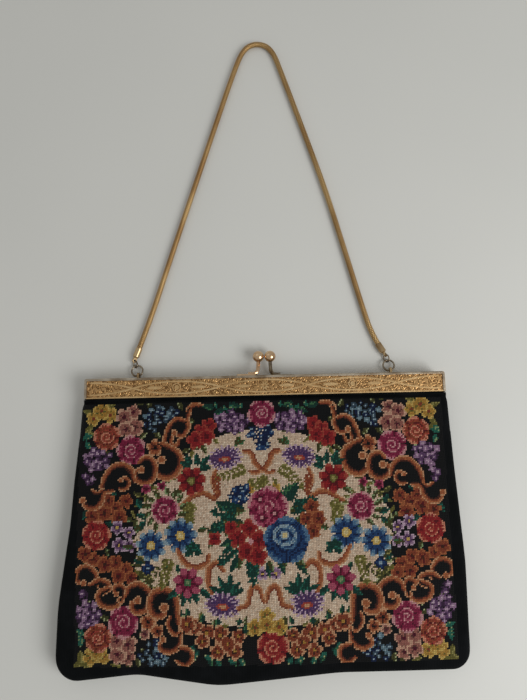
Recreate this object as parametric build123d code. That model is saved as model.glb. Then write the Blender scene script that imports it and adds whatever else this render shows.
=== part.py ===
from build123d import *
import math
import os

# Petit point evening bag, lying on its back.
# The model is drawn about the middle of the frame's top edge: X to the right,
# Y towards the chain, Z up from the table, all in millimetres.
# FRAME_AT is where that point lies in the part's own frame.
FRAME_AT = Vector(3.9, 75.03, 0)

# Frame
FRAME_W = 205.0        # outer width along the top edge
FRAME_T = 12.0         # both halves closed, back face to front face
BAND_H = 11.4          # height of the ornamented band
SPLIT_GAP = 0.2        # air between the closed halves
METAL = 0.8            # sheet thickness of the folded channel
INNER_H = 5.0          # height of the channel's inner wall
RIM_W = 1.3            # plain rounded rim round the band
RIM_UP = 0.5           # how far the rim stands over the band's ground
SPLIT_Z = FRAME_T / 2
HALF_LOW = SPLIT_Z + SPLIT_GAP / 2

# Side arms and hinge
ARM_T = 1.2
ARM_STEP = 0.7         # length of the step between the band and the slim arm
EAR_R = 1.9
HINGE_Y = -23.0
EAR_GAP = 0.2
JOGGLE = (-13.4, -17.4)  # where the back arms step inwards beside the front ones
RIVET_R = 0.9
RIVET_PLAY = 0.05
RIVET_HEAD_R = 1.7
RIVET_HEAD_T = 0.3

# Clasp
BALL_R = 3.3
BALL_Y = 11.4
BALL_GAP = 0.2
STEM_R = 1.1
LEAF_LEN = 12.6
LEAF_W = 3.6
LEAF_T = 0.9

# Handle fittings
LUG_X = 73.8
LUG_AT = (1.9, 3.2)    # Y and Z of the lug's eye
LUG_T = 1.2
LUG_R = 1.9
LUG_HOLE_R = 1.1
RING_R = 3.25
RING_WIRE_R = 0.5
LINK_HALF_W = 1.6
LINK_LEN = 4.4         # between the middles of its two end wires
LINK_WIRE_R = 0.4
LINK_TURN = 50.0       # degrees that a link is rolled about its length
CAP_R = 1.9
CAP_LEN = 6.2
CAP_END = 1.0
CAP_TANG = 1.6
EYE_R = 1.35
EYE_HOLE_R = 0.75
EYE_T = 0.9
CHAIN_R = 1.65
CHAIN_FIT = 0.05

# Pouch
CLOTH = 1.2
LINING = 0.5
LINING_GAP = 0.1
SEAM_Z = 5.0           # height of the side and bottom seam
CROWN_Z = 14.6         # top of the front panel's crown
CROWN_AT = (-1.5, -92.0)
CROWN_R = 2300.0
EDGE_R = 3.2           # rounding of the front panel towards the seam
BACK_EDGE_R = 2.6
MOUTH_Y = -12.6
LINING_NECK = 100.8    # half width of the lining's neck, inside the arms
TONGUE_X = 99.6        # half width of the cloth inside a channel
TONGUE_TOP = -1.6
PIPING_R = 0.7
PIPING_GAP = 0.02
CHANNEL_CORD_R = 0.9

# Outline at the seam, seen from the front: down the left side, round the bottom and up the
# right side. Each point is followed by the radius that its corner is rounded with.
BODY_EDGE = [
    ((-107.6, -58.0), 120.0),
    ((-109.0, -80.0), 120.0),
    ((-114.6, -124.0), 120.0),
    ((-115.4, -162.0), 12.0),
    ((-70.5, -157.4), 45.0),
    ((-28.0, -163.7), 60.0),
    ((36.0, -158.4), 150.0),
    ((106.4, -159.0), 10.0),
    ((107.4, -104.0), 120.0),
    ((105.2, -56.0), 150.0),
]
# The panels cover the frame's arms, and the lining passes inside them.
PANEL_EDGE = (
    [((-104.2, MOUTH_Y), 4.4), ((-105.2, -32.0), 60.0)]
    + BODY_EDGE
    + [((104.4, -32.0), 60.0), ((104.0, MOUTH_Y), 4.4)]
)
LINING_EDGE = (
    [((-LINING_NECK, MOUTH_Y), 5.2), ((-LINING_NECK, -26.5), 6.0), ((-104.8, -33.5), 12.0)]
    + BODY_EDGE
    + [((103.8, -33.5), 12.0), ((LINING_NECK, -26.5), 6.0), ((LINING_NECK, MOUTH_Y), 5.2)]
)

# Chain route from the left cap to the right one, laid on the table
CHAIN_Z = 1.7
CHAIN_ROUTE = [
    (-68.2, 33.3),
    (-56.6, 69.9),
    (-42.9, 112.4),
    (-28.6, 156.4),
    (-16.2, 194.3),
    (-9.1, 212.9),
    (0.2, 216.8),
    (9.4, 212.5),
    (15.4, 194.5),
    (27.2, 157.5),
    (40.2, 116.0),
    (50.8, 75.0),
    (59.0, 43.0),
    (64.5, 23.1),
]


def box(x0, x1, y0, y1, z0, z1):
    """A block between two corners."""
    middle = ((x0 + x1) / 2, (y0 + y1) / 2, (z0 + z1) / 2)
    return Pos(*middle) * Box(x1 - x0, y1 - y0, z1 - z0)


def both_sides(shape):
    """A piece on the right joined with its mirror image on the left."""
    return shape + mirror(shape, about=Plane.YZ)


def wire(radius):
    """Section of a thin wire or cord, eight-sided."""
    return RegularPolygon(radius, 8)


# Frame halves: both are drawn as the front one, and the back one is mirrored.

def frame_outline():
    """Prism of the frame's outer outline, seen from the front."""
    half_w = FRAME_W / 2
    prism = box(-half_w, half_w, HINGE_Y - 10, 0, 0, FRAME_T)
    corners = prism.edges().filter_by(Axis.Z).group_by(Axis.Y)[-1]
    return fillet(corners, RIM_W)


def band():
    """Folded channel: front band with its rims, top wall and short inner wall."""
    ground = FRAME_T - RIM_UP
    bead_w = 0.7
    bead_up = 0.3
    section = [
        (0, HALF_LOW),
        (0, FRAME_T),
        (-RIM_W, FRAME_T),
        (-RIM_W - 0.3, ground),
        (-BAND_H + bead_w + 0.2, ground),
        (-BAND_H + bead_w, ground + bead_up),
        (-BAND_H, ground + bead_up),
        (-BAND_H, ground - METAL),
        (-METAL, ground - METAL),
        (-METAL, HALF_LOW + METAL),
        (-INNER_H, HALF_LOW + METAL),
        (-INNER_H, HALF_LOW),
    ]
    face = Plane.YZ * make_face(Polyline(*section, close=True))
    bar = extrude(face, FRAME_W / 2 + 1, both=True)
    top_edges = bar.edges().filter_by(Axis.X).group_by(Axis.Z)[-1]
    bar = fillet(top_edges, 0.45)
    return bar & frame_outline()


def arm_side():
    """Side view of an arm: full depth beside the band, then slim down to its round ear."""
    top = SPLIT_Z + EAR_R
    blade = make_face(Polyline(
        (0, HALF_LOW),
        (0, FRAME_T),
        (-BAND_H, FRAME_T),
        (-BAND_H - ARM_STEP, top),
        (HINGE_Y, top),
        (HINGE_Y, HALF_LOW),
        close=True,
    ))
    side = Plane.YZ * (Pos(HINGE_Y, SPLIT_Z) * Circle(EAR_R) + blade)
    return extrude(side, FRAME_W)


def arm(inset):
    """Right arm: a strip that runs straight past the hinge, after a step inwards by inset."""
    half_w = FRAME_W / 2
    low = HINGE_Y - EAR_R - 1
    outer = [(half_w, 0)]
    if inset:
        outer += [(half_w, JOGGLE[0]), (half_w - inset, JOGGLE[1])]
    outer.append((half_w - inset, low))
    inner = [(x - ARM_T, y) for x, y in reversed(outer)]
    strip = extrude(make_face(Polyline(*(outer + inner), close=True)), FRAME_T)
    return strip & arm_side()


def hinge_axis(radius, x0, x1):
    """Round bar along the hinge's axis, from x0 to x1."""
    place = Plane(origin=(x0, HINGE_Y, SPLIT_Z), z_dir=(1, 0, 0))
    return place * Cylinder(radius, x1 - x0, align=(Align.CENTER, Align.CENTER, Align.MIN))


def frame_half(inset, hole_r):
    """One half of the frame, without ornament."""
    side = arm(inset) - hinge_axis(hole_r, FRAME_W / 2 - 5, FRAME_W / 2 + 5)
    corner = side & frame_outline()
    return band() + both_sides(corner)


# Ornament: the scroll ribbons, medallions and palmettes stamped into the front band.

ORNAMENT_MID = (-RIM_W - BAND_H + 0.7) / 2
MEDALLION_STEP = 50.0
RIBBON_RISE = 3.5
RIBBON_W = 0.9
RELIEF = 0.45


def raised(sketch, height=RELIEF):
    """A flat figure stamped up out of the band's ground."""
    ground = FRAME_T - RIM_UP
    return extrude(Pos(0, ORNAMENT_MID, ground - METAL / 2) * sketch, METAL / 2 + height)


def ribbons():
    """Two crossing wavy ribbons that leave pointed ovals between their crossings."""
    waves = []
    half_wave = MEDALLION_STEP / 2
    for step in (-1, 0, 1):
        middle = step * MEDALLION_STEP
        for side in (1, -1):
            arc = ThreePointArc(
                (middle - half_wave, 0),
                (middle, side * RIBBON_RISE),
                (middle + half_wave, 0),
            )
            waves.append(trace(arc, RIBBON_W))
    for end in (1, -1):
        for side in (1, -1):
            arc = ThreePointArc(
                (end * 1.5 * MEDALLION_STEP, 0),
                (end * 1.75 * MEDALLION_STEP, side * 2.7),
                (end * 1.98 * MEDALLION_STEP, side * RIBBON_RISE),
            )
            waves.append(trace(arc, RIBBON_W))
    figure = waves[0]
    for wave in waves[1:]:
        figure += wave
    return raised(figure, RELIEF * 0.8)


def medallion(x):
    """Round boss inside a raised ring."""
    ring = Pos(x, 0) * (Circle(2.5) - Circle(2.0))
    boss = Pos(x, 0) * Circle(1.3)
    return [raised(ring), raised(boss)]


def palmette(x, leaves, radius):
    """Fan of narrow leaves about one point."""
    parts = []
    for index in range(leaves):
        angle = 360 / leaves * (index + 0.5)
        leaf = Pos(x, 0) * Rot(0, 0, angle) * Pos(radius, 0) * Ellipse(1.0, 0.45)
        parts.append(raised(leaf))
    return parts


def ornament():
    """All raised figures of the front band."""
    figures = [ribbons()]
    for side in (1, -1):
        figures += medallion(side * MEDALLION_STEP)
        for near in (-12.5, 12.5):
            leaf = Pos(side * MEDALLION_STEP + near, 0) * Ellipse(4.2, 0.9)
            figures.append(raised(leaf))
    figures += palmette(0, 8, 1.6)
    for near in (-12.5, 12.5):
        figures.append(raised(Pos(near, 0) * Ellipse(4.2, 0.9)))
    return figures


def front_frame():
    """Front half with its ornament; its ears are outside the back half's ears."""
    half = frame_half(0, RIVET_R + RIVET_PLAY)
    for figure in ornament():
        half += figure
    return half


def back_frame():
    """Back half, plain, with arms that step inwards beside the front ears."""
    inset = ARM_T + EAR_GAP
    half = frame_half(inset, RIVET_R)
    return mirror(half, about=Plane(origin=(0, 0, SPLIT_Z), z_dir=(0, 0, 1)))


def hinge_rivet():
    """Rivet through both right ears, flush outside, with a flat head inside."""
    outer = FRAME_W / 2
    inner = outer - 2 * ARM_T - EAR_GAP
    head = hinge_axis(RIVET_HEAD_R, inner - RIVET_HEAD_T, inner)
    rim = head.edges().filter_by(GeomType.CIRCLE).group_by(Axis.X)[0]
    return hinge_axis(RIVET_R, inner, outer) + chamfer(rim, RIVET_HEAD_T * 0.7)


# Clasp

def clasp_spring(side, half_z):
    """Spring leaf on the frame's top edge, and the stem that rises from it to the ball.

    side is -1 for the left clasp and 1 for the right one; half_z is the middle of its half.
    """
    ball_x = side * (BALL_R + BALL_GAP / 2)
    far_x = ball_x + side * LEAF_LEN
    near_x = ball_x + side * 2.0
    low_x, high_x = sorted((far_x, near_x))
    leaf = box(low_x, high_x, 0, LEAF_T, half_z - LEAF_W / 2, half_z + LEAF_W / 2)
    tip = leaf.edges().filter_by(Axis.Y).group_by(Axis.X)[0 if side < 0 else -1]
    leaf = fillet(tip, LEAF_W / 2 - 0.05)
    route = FilletPolyline(
        (ball_x + side * 6.0, STEM_R, half_z),
        (ball_x + side * 0.4, STEM_R, half_z),
        (ball_x, BALL_Y - BALL_R + 1.0, SPLIT_Z),
        radius=3.2,
    )
    start = Plane(origin=route @ 0, z_dir=route % 0)
    stem = sweep(start * wire(STEM_R), path=route)
    return leaf + stem


def clasp_ball(side, spring):
    """Ball seated on the end of its stem."""
    ball_x = side * (BALL_R + BALL_GAP / 2)
    return Pos(ball_x, BALL_Y, SPLIT_Z) * Sphere(BALL_R) - spring


# Handle fittings

def chain_lug(side):
    """Eye soldered on the back half's top edge."""
    eye_y, eye_z = LUG_AT
    figure = Pos(eye_y, eye_z) * Circle(LUG_R)
    figure += Pos(eye_y / 2, eye_z) * Rectangle(eye_y, 2 * LUG_R)
    figure -= Pos(eye_y, eye_z) * Circle(LUG_HOLE_R)
    return Pos(side * LUG_X, 0, 0) * extrude(Plane.YZ * figure, LUG_T / 2, both=True)


def straight(start, direction, length):
    """The point a length away from start."""
    return start + direction.normalized() * length


def fittings(side, ring_way, link_way, target):
    """Jump ring, link and end cap of one side, and the chain's seat in the cap.

    The cap points at target, the first corner of the chain's route.
    """
    lug_eye = Vector(side * LUG_X, *LUG_AT)
    ring_way = ring_way.normalized()
    link_way = link_way.normalized()

    across = (Vector(1, 0, 0) - ring_way * ring_way.dot(Vector(1, 0, 0))).normalized()
    ring_plane = Plane(
        origin=straight(lug_eye, ring_way, RING_R),
        x_dir=ring_way,
        z_dir=ring_way.cross(across),
    )
    ring = ring_plane * revolve(Plane.XZ * Pos(RING_R, 0) * wire(RING_WIRE_R), Axis.Z)

    wire_gap = RING_WIRE_R + LINK_WIRE_R + 0.12
    ring_far = straight(lug_eye, ring_way, 2 * RING_R)
    link_near = straight(ring_far, link_way, -wire_gap)
    link_far = straight(link_near, link_way, LINK_LEN)
    chain_way = (target - link_far).normalized()
    up = (Vector(0, 0, 1) - link_way * link_way.dot(Vector(0, 0, 1))).normalized()
    flat = link_way.cross(up)
    roll = math.radians(LINK_TURN)
    wide = up * math.cos(roll) + flat * math.sin(roll)
    link_plane = Plane(origin=link_near, x_dir=link_way, z_dir=link_way.cross(wide))
    corner = LINK_HALF_W - 0.02
    loop = FilletPolyline(
        (0, -LINK_HALF_W),
        (LINK_LEN, -LINK_HALF_W),
        (LINK_LEN, LINK_HALF_W),
        (0, LINK_HALF_W),
        radius=corner,
        close=True,
    )
    side_bar = Plane(origin=(LINK_LEN / 2, -LINK_HALF_W, 0), z_dir=(1, 0, 0))
    link = link_plane * sweep(side_bar * wire(LINK_WIRE_R), path=loop)

    cap = end_cap()
    hole_way = (wide - chain_way * chain_way.dot(wide)).normalized()
    cap_plane = Plane(origin=link_far, x_dir=chain_way, z_dir=hole_way)
    seat = straight(link_far, chain_way, CAP_TANG + CAP_END)
    return ring, link, cap_plane * cap, seat


def end_cap():
    """Cap along +X: an eye at the origin, a short tang and a tube for the chain's end."""
    eye = extrude(Circle(EYE_R), EYE_T / 2, both=True)
    tang = box(0, CAP_TANG + CAP_END / 2, -EYE_R * 0.8, EYE_R * 0.8, -EYE_T / 2, EYE_T / 2)
    bore = CHAIN_R + CHAIN_FIT
    section = make_face(Polyline(
        (CAP_TANG, 0),
        (CAP_TANG, CAP_R - 0.7),
        (CAP_TANG + 0.7, CAP_R),
        (CAP_TANG + CAP_LEN, CAP_R),
        (CAP_TANG + CAP_LEN, bore),
        (CAP_TANG + CAP_END, bore),
        (CAP_TANG + CAP_END, 0),
        close=True,
    ))
    tube = revolve(section, Axis.X)
    hole = extrude(Circle(EYE_HOLE_R), EYE_T, both=True)
    return eye + tang + tube - hole


def chain(left_seat, right_seat):
    """Snake chain as a plain tube, in straight runs joined by tangent arcs."""
    points = [left_seat]
    points += [Vector(x, y, CHAIN_Z) for x, y in CHAIN_ROUTE]
    points.append(right_seat)
    radii = []
    for before, here, after in zip(points, points[1:], points[2:]):
        turn = math.radians((here - before).get_angle(after - here))
        shorter = min((here - before).length, (after - here).length)
        radii.append(0.45 * shorter / math.tan(turn / 2))
    print("chain bend radii", [round(radius, 1) for radius in radii])
    path = FilletPolyline(*points, radius=radii)
    start = Plane(origin=path @ 0, z_dir=path % 0)
    tube = sweep(start * Circle(CHAIN_R), path=path)
    expected = math.pi * CHAIN_R**2 * path.length
    print("chain length", round(path.length, 1), "volume share", round(tube.volume / expected, 4))
    return tube


# Pouch

def edge_corners(edge, inset):
    """Corner points and radii of an outline, drawn in by inset."""
    corners = [Vector(*point) for point, radius in edge]
    points = []
    radii = []
    for index, here in enumerate(corners):
        into = (here - corners[index - 1]).normalized()
        away = (corners[(index + 1) % len(corners)] - here).normalized()
        half_turn = math.atan2(into.cross(away).Z, into.dot(away)) / 2
        inward = (into + away).normalized().rotate(Axis.Z, 90)
        points.append(here + inward * (inset / math.cos(half_turn)))
        radii.append(edge[index][1] - math.copysign(inset, half_turn))
    return points, radii


def outline_face(edge, inset):
    """An outline as a face, drawn in by inset."""
    points, radii = edge_corners(edge, inset)
    return make_face(FilletPolyline(*points, radius=radii, close=True))


def soften(body, edges, radius, inset):
    """Round the outside of a panel; inside it a plain bevel does."""
    if inset == 0:
        return fillet(edges, radius)
    return chamfer(edges, radius - inset)


def front_form(edge, inset):
    """Filled form of the pouch's front, drawn in by inset, from a little below the seam."""
    x, y = CROWN_AT
    crown = Pos(x, y, CROWN_Z - CROWN_R) * Sphere(CROWN_R - inset)
    low = SEAM_Z - EDGE_R
    body = extrude(Pos(0, 0, low) * outline_face(edge, inset), CROWN_Z) & crown
    top = body.faces().sort_by(Axis.Z)[-1]
    return soften(body, top.edges(), EDGE_R, inset)


def back_form(edge, inset):
    """Filled form of the pouch's back, flat underneath, drawn in by inset."""
    body = extrude(Pos(0, 0, inset) * outline_face(edge, inset), SEAM_Z)
    bottom = body.faces().sort_by(Axis.Z)[0]
    return soften(body, bottom.edges(), BACK_EDGE_R, inset)


def mouth(low, high):
    """Room for the mouth between the tongues, and for the arms beside it."""
    wall = MOUTH_Y - CLOTH - LINING - LINING_GAP - 2.0
    arms = FRAME_W / 2 + 0.2
    opening = box(-TONGUE_X, TONGUE_X, -18, 0, low, high)
    return opening + box(-arms, arms, wall, 0, low, high)


def front_wall(edge, outside, thickness):
    """Front cloth wall with the tongue that is held in the front channel."""
    top = FRAME_T - RIM_UP - METAL - 0.1 - outside
    tongue = box(-TONGUE_X, TONGUE_X, -18, TONGUE_TOP, top - thickness, top)
    below = box(-200, 200, -200, 20, -20, SEAM_Z)
    hollow = front_form(edge, outside + thickness) + mouth(SEAM_Z - 1, top - thickness)
    return front_form(edge, outside) + tongue - hollow - below


def back_wall(edge, outside, thickness):
    """Back cloth wall with the tongue that is held in the back channel."""
    low = RIM_UP + METAL + 0.1 + outside
    tongue = box(-TONGUE_X, TONGUE_X, -18, TONGUE_TOP, low, low + thickness)
    above = box(-200, 200, -200, 20, SEAM_Z, SEAM_Z + 20)
    hollow = back_form(edge, outside + thickness) + mouth(low + thickness, SEAM_Z + 1)
    return back_form(edge, outside) + tongue - hollow - above


def seam_piping():
    """Covered cord sewn in along the side and bottom seam."""
    points, radii = edge_corners(PANEL_EDGE, -PIPING_R - PIPING_GAP)
    first = points[1] + (points[2] - points[1]) * 0.1
    last = points[-2] + (points[-3] - points[-2]) * 0.1
    route = [first] + points[2:-2] + [last]
    path = Pos(0, 0, SEAM_Z) * FilletPolyline(*route, radius=radii[2:-2])
    start = Plane(origin=path @ 0, z_dir=path % 0)
    return sweep(start * wire(PIPING_R), path=path)


def channel_cord(z):
    """Twine that wedges the cloth into a channel."""
    place = Plane(origin=(-TONGUE_X, -METAL - 1.3, z), z_dir=(1, 0, 0))
    align = (Align.CENTER, Align.CENTER, Align.MIN)
    return place * Cylinder(CHANNEL_CORD_R, 2 * TONGUE_X, align=align)


def all_pieces():
    """Every piece by name, drawn about the middle of the frame's top edge."""
    front_z = (FRAME_T + HALF_LOW) / 2
    back_z = FRAME_T - front_z
    pieces = {}
    pieces["front_frame"] = front_frame()
    pieces["back_frame"] = back_frame()
    rivet = hinge_rivet()
    pieces["right_hinge_rivet"] = rivet
    pieces["left_hinge_rivet"] = mirror(rivet, about=Plane.YZ)

    for name, side, half_z in (("front", -1, front_z), ("back", 1, back_z)):
        spring = clasp_spring(side, half_z)
        pieces[name + "_clasp_spring"] = spring
        pieces[name + "_clasp_ball"] = clasp_ball(side, spring)

    left_end = Vector(*CHAIN_ROUTE[0], CHAIN_Z)
    right_end = Vector(*CHAIN_ROUTE[-1], CHAIN_Z)
    left = fittings(-1, Vector(-0.3, 0.93, -0.2), Vector(-0.25, 0.96, 0.07), left_end)
    right = fittings(1, Vector(-0.2, 0.95, -0.2), Vector(-0.25, 0.96, 0.07), right_end)
    for name, side, parts in (("left", -1, left), ("right", 1, right)):
        ring, link, cap, seat = parts
        pieces[name + "_chain_lug"] = chain_lug(side)
        pieces[name + "_jump_ring"] = ring
        pieces[name + "_chain_link"] = link
        pieces[name + "_end_cap"] = cap
    pieces["snake_chain"] = chain(left[-1], right[-1])

    pieces["seam_piping"] = seam_piping()
    pieces["front_panel"] = front_wall(PANEL_EDGE, 0, CLOTH)
    pieces["back_panel"] = back_wall(PANEL_EDGE, 0, CLOTH)
    lining_in = CLOTH + LINING_GAP
    pieces["front_lining"] = front_wall(LINING_EDGE, lining_in, LINING)
    pieces["back_lining"] = back_wall(LINING_EDGE, lining_in, LINING)
    pieces["front_channel_cord"] = channel_cord(HALF_LOW + METAL + CHANNEL_CORD_R)
    pieces["back_channel_cord"] = channel_cord(FRAME_T - HALF_LOW - METAL - CHANNEL_CORD_R)
    return pieces


os.makedirs("parts", exist_ok=True)
for node, shape in all_pieces().items():
    export_step(Pos(*FRAME_AT) * shape, f"parts/{node}.step")
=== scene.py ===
# %% [markdown]
# # Petit point evening bag
#
# A small black evening bag with a needlework front, hung in a gilt frame with two ball
# knobs and a snake chain. It lies on its back on a pale table. The hard pieces come from
# the CAD model, and this notebook gives them their metal and replaces everything soft.

import math

import bmesh
import bpy
import numpy as np
from mathutils import Matrix, Vector


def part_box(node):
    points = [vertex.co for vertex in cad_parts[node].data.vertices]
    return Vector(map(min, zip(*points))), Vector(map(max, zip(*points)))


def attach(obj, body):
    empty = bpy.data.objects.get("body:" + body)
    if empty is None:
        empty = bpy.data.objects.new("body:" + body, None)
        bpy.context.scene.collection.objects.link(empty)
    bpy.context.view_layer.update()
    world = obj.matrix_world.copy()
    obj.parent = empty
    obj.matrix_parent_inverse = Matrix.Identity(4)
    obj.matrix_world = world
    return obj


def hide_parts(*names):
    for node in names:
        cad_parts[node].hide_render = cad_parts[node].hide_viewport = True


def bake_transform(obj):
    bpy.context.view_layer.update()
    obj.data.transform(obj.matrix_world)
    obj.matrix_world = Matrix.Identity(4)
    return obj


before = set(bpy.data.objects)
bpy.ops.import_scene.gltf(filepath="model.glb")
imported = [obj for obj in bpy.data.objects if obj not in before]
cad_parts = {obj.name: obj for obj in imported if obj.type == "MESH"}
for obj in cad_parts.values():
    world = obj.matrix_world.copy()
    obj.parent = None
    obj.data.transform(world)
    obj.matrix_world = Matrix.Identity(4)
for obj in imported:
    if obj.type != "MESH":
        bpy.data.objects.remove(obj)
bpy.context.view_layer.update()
MM = 0.001

# %% [markdown]
# The CAD part has its origin under the middle of the bag. It is easier to work from the
# middle of the frame's top edge, so every place below is given in millimetres from there.

# %% The middle of the frame's top edge
frame_low, frame_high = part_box("front_frame")
TOP_MIDDLE = Vector(((frame_low[0] + frame_high[0]) / 2, frame_high[1], 0))
print("top middle of the frame at", [round(v, 5) for v in TOP_MIDDLE])


def place(x, y, z):
    """Millimetres from the frame's top middle, as a point of the part's frame."""
    return Vector((x, y, z)) * MM + TOP_MIDDLE


def clear_selection():
    bpy.ops.object.select_all(action="DESELECT")


SHARP_ANGLE = math.radians(60)


def smooth(piece):
    """Shade a piece smooth, except at its sharp edges."""
    clear_selection()
    piece.select_set(True)
    bpy.context.view_layer.objects.active = piece
    bpy.ops.object.shade_smooth_by_angle(angle=SHARP_ANGLE)


def finish_piece(piece, name, material, body):
    """Name a piece, give it its material and body, and shade it smooth."""
    piece.name = name
    piece.data.name = name
    piece.data.materials.clear()
    piece.data.materials.append(material)
    smooth(piece)
    if body:
        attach(piece, body)
    print(name, len(piece.data.polygons), "faces")
    return piece


# %% [markdown]
# ## Shader maths as expressions
#
# A material is a graph of nodes. The two small classes below let Python's operators build
# that graph: `height * 2 + 1` adds the two Math nodes and links them.

# %% A socket that takes part in sums
class Signal:
    def __init__(self, finish, socket):
        self.finish = finish
        self.socket = socket

    def math(self, operation, *others):
        inputs = {0: self}
        for index, other in enumerate(others):
            inputs[index + 1] = other
        return self.finish.node("ShaderNodeMath", {"operation": operation}, inputs)

    def __add__(self, other):
        return self.math("ADD", other)

    __radd__ = __add__

    def __sub__(self, other):
        return self.math("SUBTRACT", other)

    def __rsub__(self, other):
        return self.finish.node("ShaderNodeMath", {"operation": "SUBTRACT"}, {0: other, 1: self})

    def __mul__(self, other):
        return self.math("MULTIPLY", other)

    __rmul__ = __mul__

    def __pow__(self, other):
        return self.math("POWER", other)

    def fraction(self):
        return self.math("FRACT")

    def size(self):
        return self.math("ABSOLUTE")

    def sine(self):
        return self.math("SINE")

    def clamp(self):
        return self.math("MAXIMUM", 0.0).math("MINIMUM", 1.0)

    def step(self, low, high):
        """Smooth rise from 0 at low to 1 at high."""
        settings = {"interpolation_type": "SMOOTHSTEP"}
        return self.finish.node("ShaderNodeMapRange", settings, {0: self, 1: low, 2: high})


# %% A material and its nodes
class Finish:
    def __init__(self, name):
        self.material = bpy.data.materials.new(name)
        self.material.use_nodes = True
        self.tree = self.material.node_tree
        self.shader = self.tree.nodes["Principled BSDF"]

    def node(self, kind, settings=None, inputs=None, output=0):
        made = self.tree.nodes.new(kind)
        for key, value in (settings or {}).items():
            if key == "stops":
                ramp = made.color_ramp
                while len(ramp.elements) < len(value):
                    ramp.elements.new(1.0)
                for element, (position, colour) in zip(ramp.elements, value):
                    element.position = position
                    element.color = (*colour, 1.0)
            else:
                setattr(made, key, value)
        for key, value in (inputs or {}).items():
            if isinstance(value, Signal):
                self.tree.links.new(value.socket, made.inputs[key])
            else:
                made.inputs[key].default_value = value
        return Signal(self, made.outputs[output])

    def position(self):
        return self.node("ShaderNodeTexCoord", output="Object")

    def split(self, vector):
        made = self.tree.nodes.new("ShaderNodeSeparateXYZ")
        self.tree.links.new(vector.socket, made.inputs[0])
        return [Signal(self, socket) for socket in made.outputs]

    def noise(self, where, scale, detail=3.0, roughness=0.5):
        inputs = {"Vector": where, "Scale": scale, "Detail": detail, "Roughness": roughness}
        return self.node("ShaderNodeTexNoise", None, inputs)

    def mix(self, factor, first, second, blend="MIX"):
        settings = {"data_type": "RGBA", "blend_type": blend}
        return self.node("ShaderNodeMix", settings, {0: factor, 6: first, 7: second}, output=2)

    def set(self, **sockets):
        for key, value in sockets.items():
            socket = self.shader.inputs[key.replace("_", " ")]
            if isinstance(value, Signal):
                self.tree.links.new(value.socket, socket)
            else:
                socket.default_value = value

    def bump(self, height, distance, strength=1.0):
        """Relief of a height from 0 to 1 that stands a distance in metres."""
        inputs = {"Height": height, "Distance": distance, "Strength": strength}
        relief = self.node("ShaderNodeBump", None, inputs)
        self.tree.links.new(relief.socket, self.shader.inputs["Normal"])


def rgb(red, green, blue):
    """A colour as it looks on a screen, 0 to 255, in the renderer's linear values."""
    linear = []
    for channel in (red, green, blue):
        value = channel / 255
        linear.append(value / 12.92 if value <= 0.04045 else ((value + 0.055) / 1.055) ** 2.4)
    return (*linear, 1.0)


# %% [markdown]
# ## Gilt metal
#
# The frame, the knobs and the chain are brass with thin gold plating. Handling has dulled
# it unevenly, so a soft noise moves the colour between a pale gold and a browner one, and
# the roughness follows it.

# %% Gilt
def gilt(name, pale, brown, roughness=0.3, grain=60.0):
    finish = Finish(name)
    where = finish.position()
    clouds = finish.noise(where, grain, 4.0, 0.6)
    fine = finish.noise(where, 2500.0, 2.0)
    colour = finish.mix(clouds.step(0.35, 0.7), pale, brown)
    finish.set(Base_Color=colour, Metallic=1.0)
    finish.set(Roughness=(clouds * 0.18 + fine * 0.1 + (roughness - 0.12)).clamp())
    finish.bump(fine, 0.00001, 0.5)
    return finish


plain_gilt = gilt("gilt_plain", rgb(206, 180, 138), rgb(154, 126, 90)).material
bright_gilt = gilt("gilt_bright", rgb(238, 208, 168), rgb(196, 158, 122), 0.18).material
relief_gilt = gilt("gilt_relief", rgb(220, 182, 126), rgb(186, 148, 96), 0.28, 200.0).material
worn_wire = gilt("worn_wire", rgb(160, 148, 128), rgb(100, 84, 66), 0.3, 300.0).material

# %% [markdown]
# The front band is stamped. Between the raised figures its ground is chased all over with
# fine scrolls: the level lines of a soft noise wind about in just that way. The raised tops
# are painted a paler gold as painted light, and the ground and its chased lines a darker one
# as painted shade. The plain rims and the top wall have worn to a greyer metal.

# %% Stamped gilt
BAND_FACE_Z = 11.0
GROUND_Z = 11.5
RIM_W = 1.3
END_RIM_X = 101.0


def stamped_gilt():
    finish = Finish("gilt_stamped")
    where = finish.position()
    x, y, z = finish.split(where)
    on_front = z.step(BAND_FACE_Z * MM, (BAND_FACE_Z + 0.3) * MM)
    on_top = y.step(TOP_MIDDLE.y - (RIM_W + 0.3) * MM, TOP_MIDDLE.y - RIM_W * MM)
    on_ends = (x - TOP_MIDDLE.x).size().step(END_RIM_X * MM, (END_RIM_X + 0.4) * MM)
    on_rim = on_top.math("MAXIMUM", on_ends)
    high = z.step((GROUND_Z + 0.05) * MM, (GROUND_Z + 0.32) * MM)
    clouds = finish.noise(where, 90.0, 4.0, 0.6)
    swirl = (finish.noise(where, 210.0, 1.5) * 52.0).sine() * 0.5 + 0.5
    line = swirl.step(0.05, 0.55)
    # Painted light and shade: the ground and its chased lines are darker, as painted shade in the
    # recesses, and the raised tops paler, as painted light.
    ground = finish.mix(clouds, rgb(210, 168, 114), rgb(182, 142, 94))
    shaded_ground_colour = finish.mix(line, rgb(128, 94, 58), ground)
    lit_top_colour = finish.mix(clouds.step(0.3, 0.75), rgb(232, 198, 146), rgb(198, 160, 108))
    front = finish.mix(high, shaded_ground_colour, lit_top_colour)
    plain = finish.mix(clouds.step(0.3, 0.7), rgb(196, 184, 164), rgb(140, 122, 100))
    metal = finish.mix(on_front * (1 - on_rim), plain, front)
    finish.set(Base_Color=metal, Metallic=1.0)
    finish.set(Roughness=(clouds * 0.15 + (1 - line) * 0.12 + 0.24).clamp())
    finish.bump((line * 0.7 + swirl * 0.3) * on_front * (1 - on_rim) * (1 - high), 0.00022, 0.8)
    return finish.material


stamped = stamped_gilt()


def dress(node, material):
    """Give a CAD node its material."""
    piece = bpy.data.objects[node]
    for slot in piece.material_slots:
        slot.material = material
    if not piece.material_slots:
        piece.data.materials.append(material)


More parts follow.
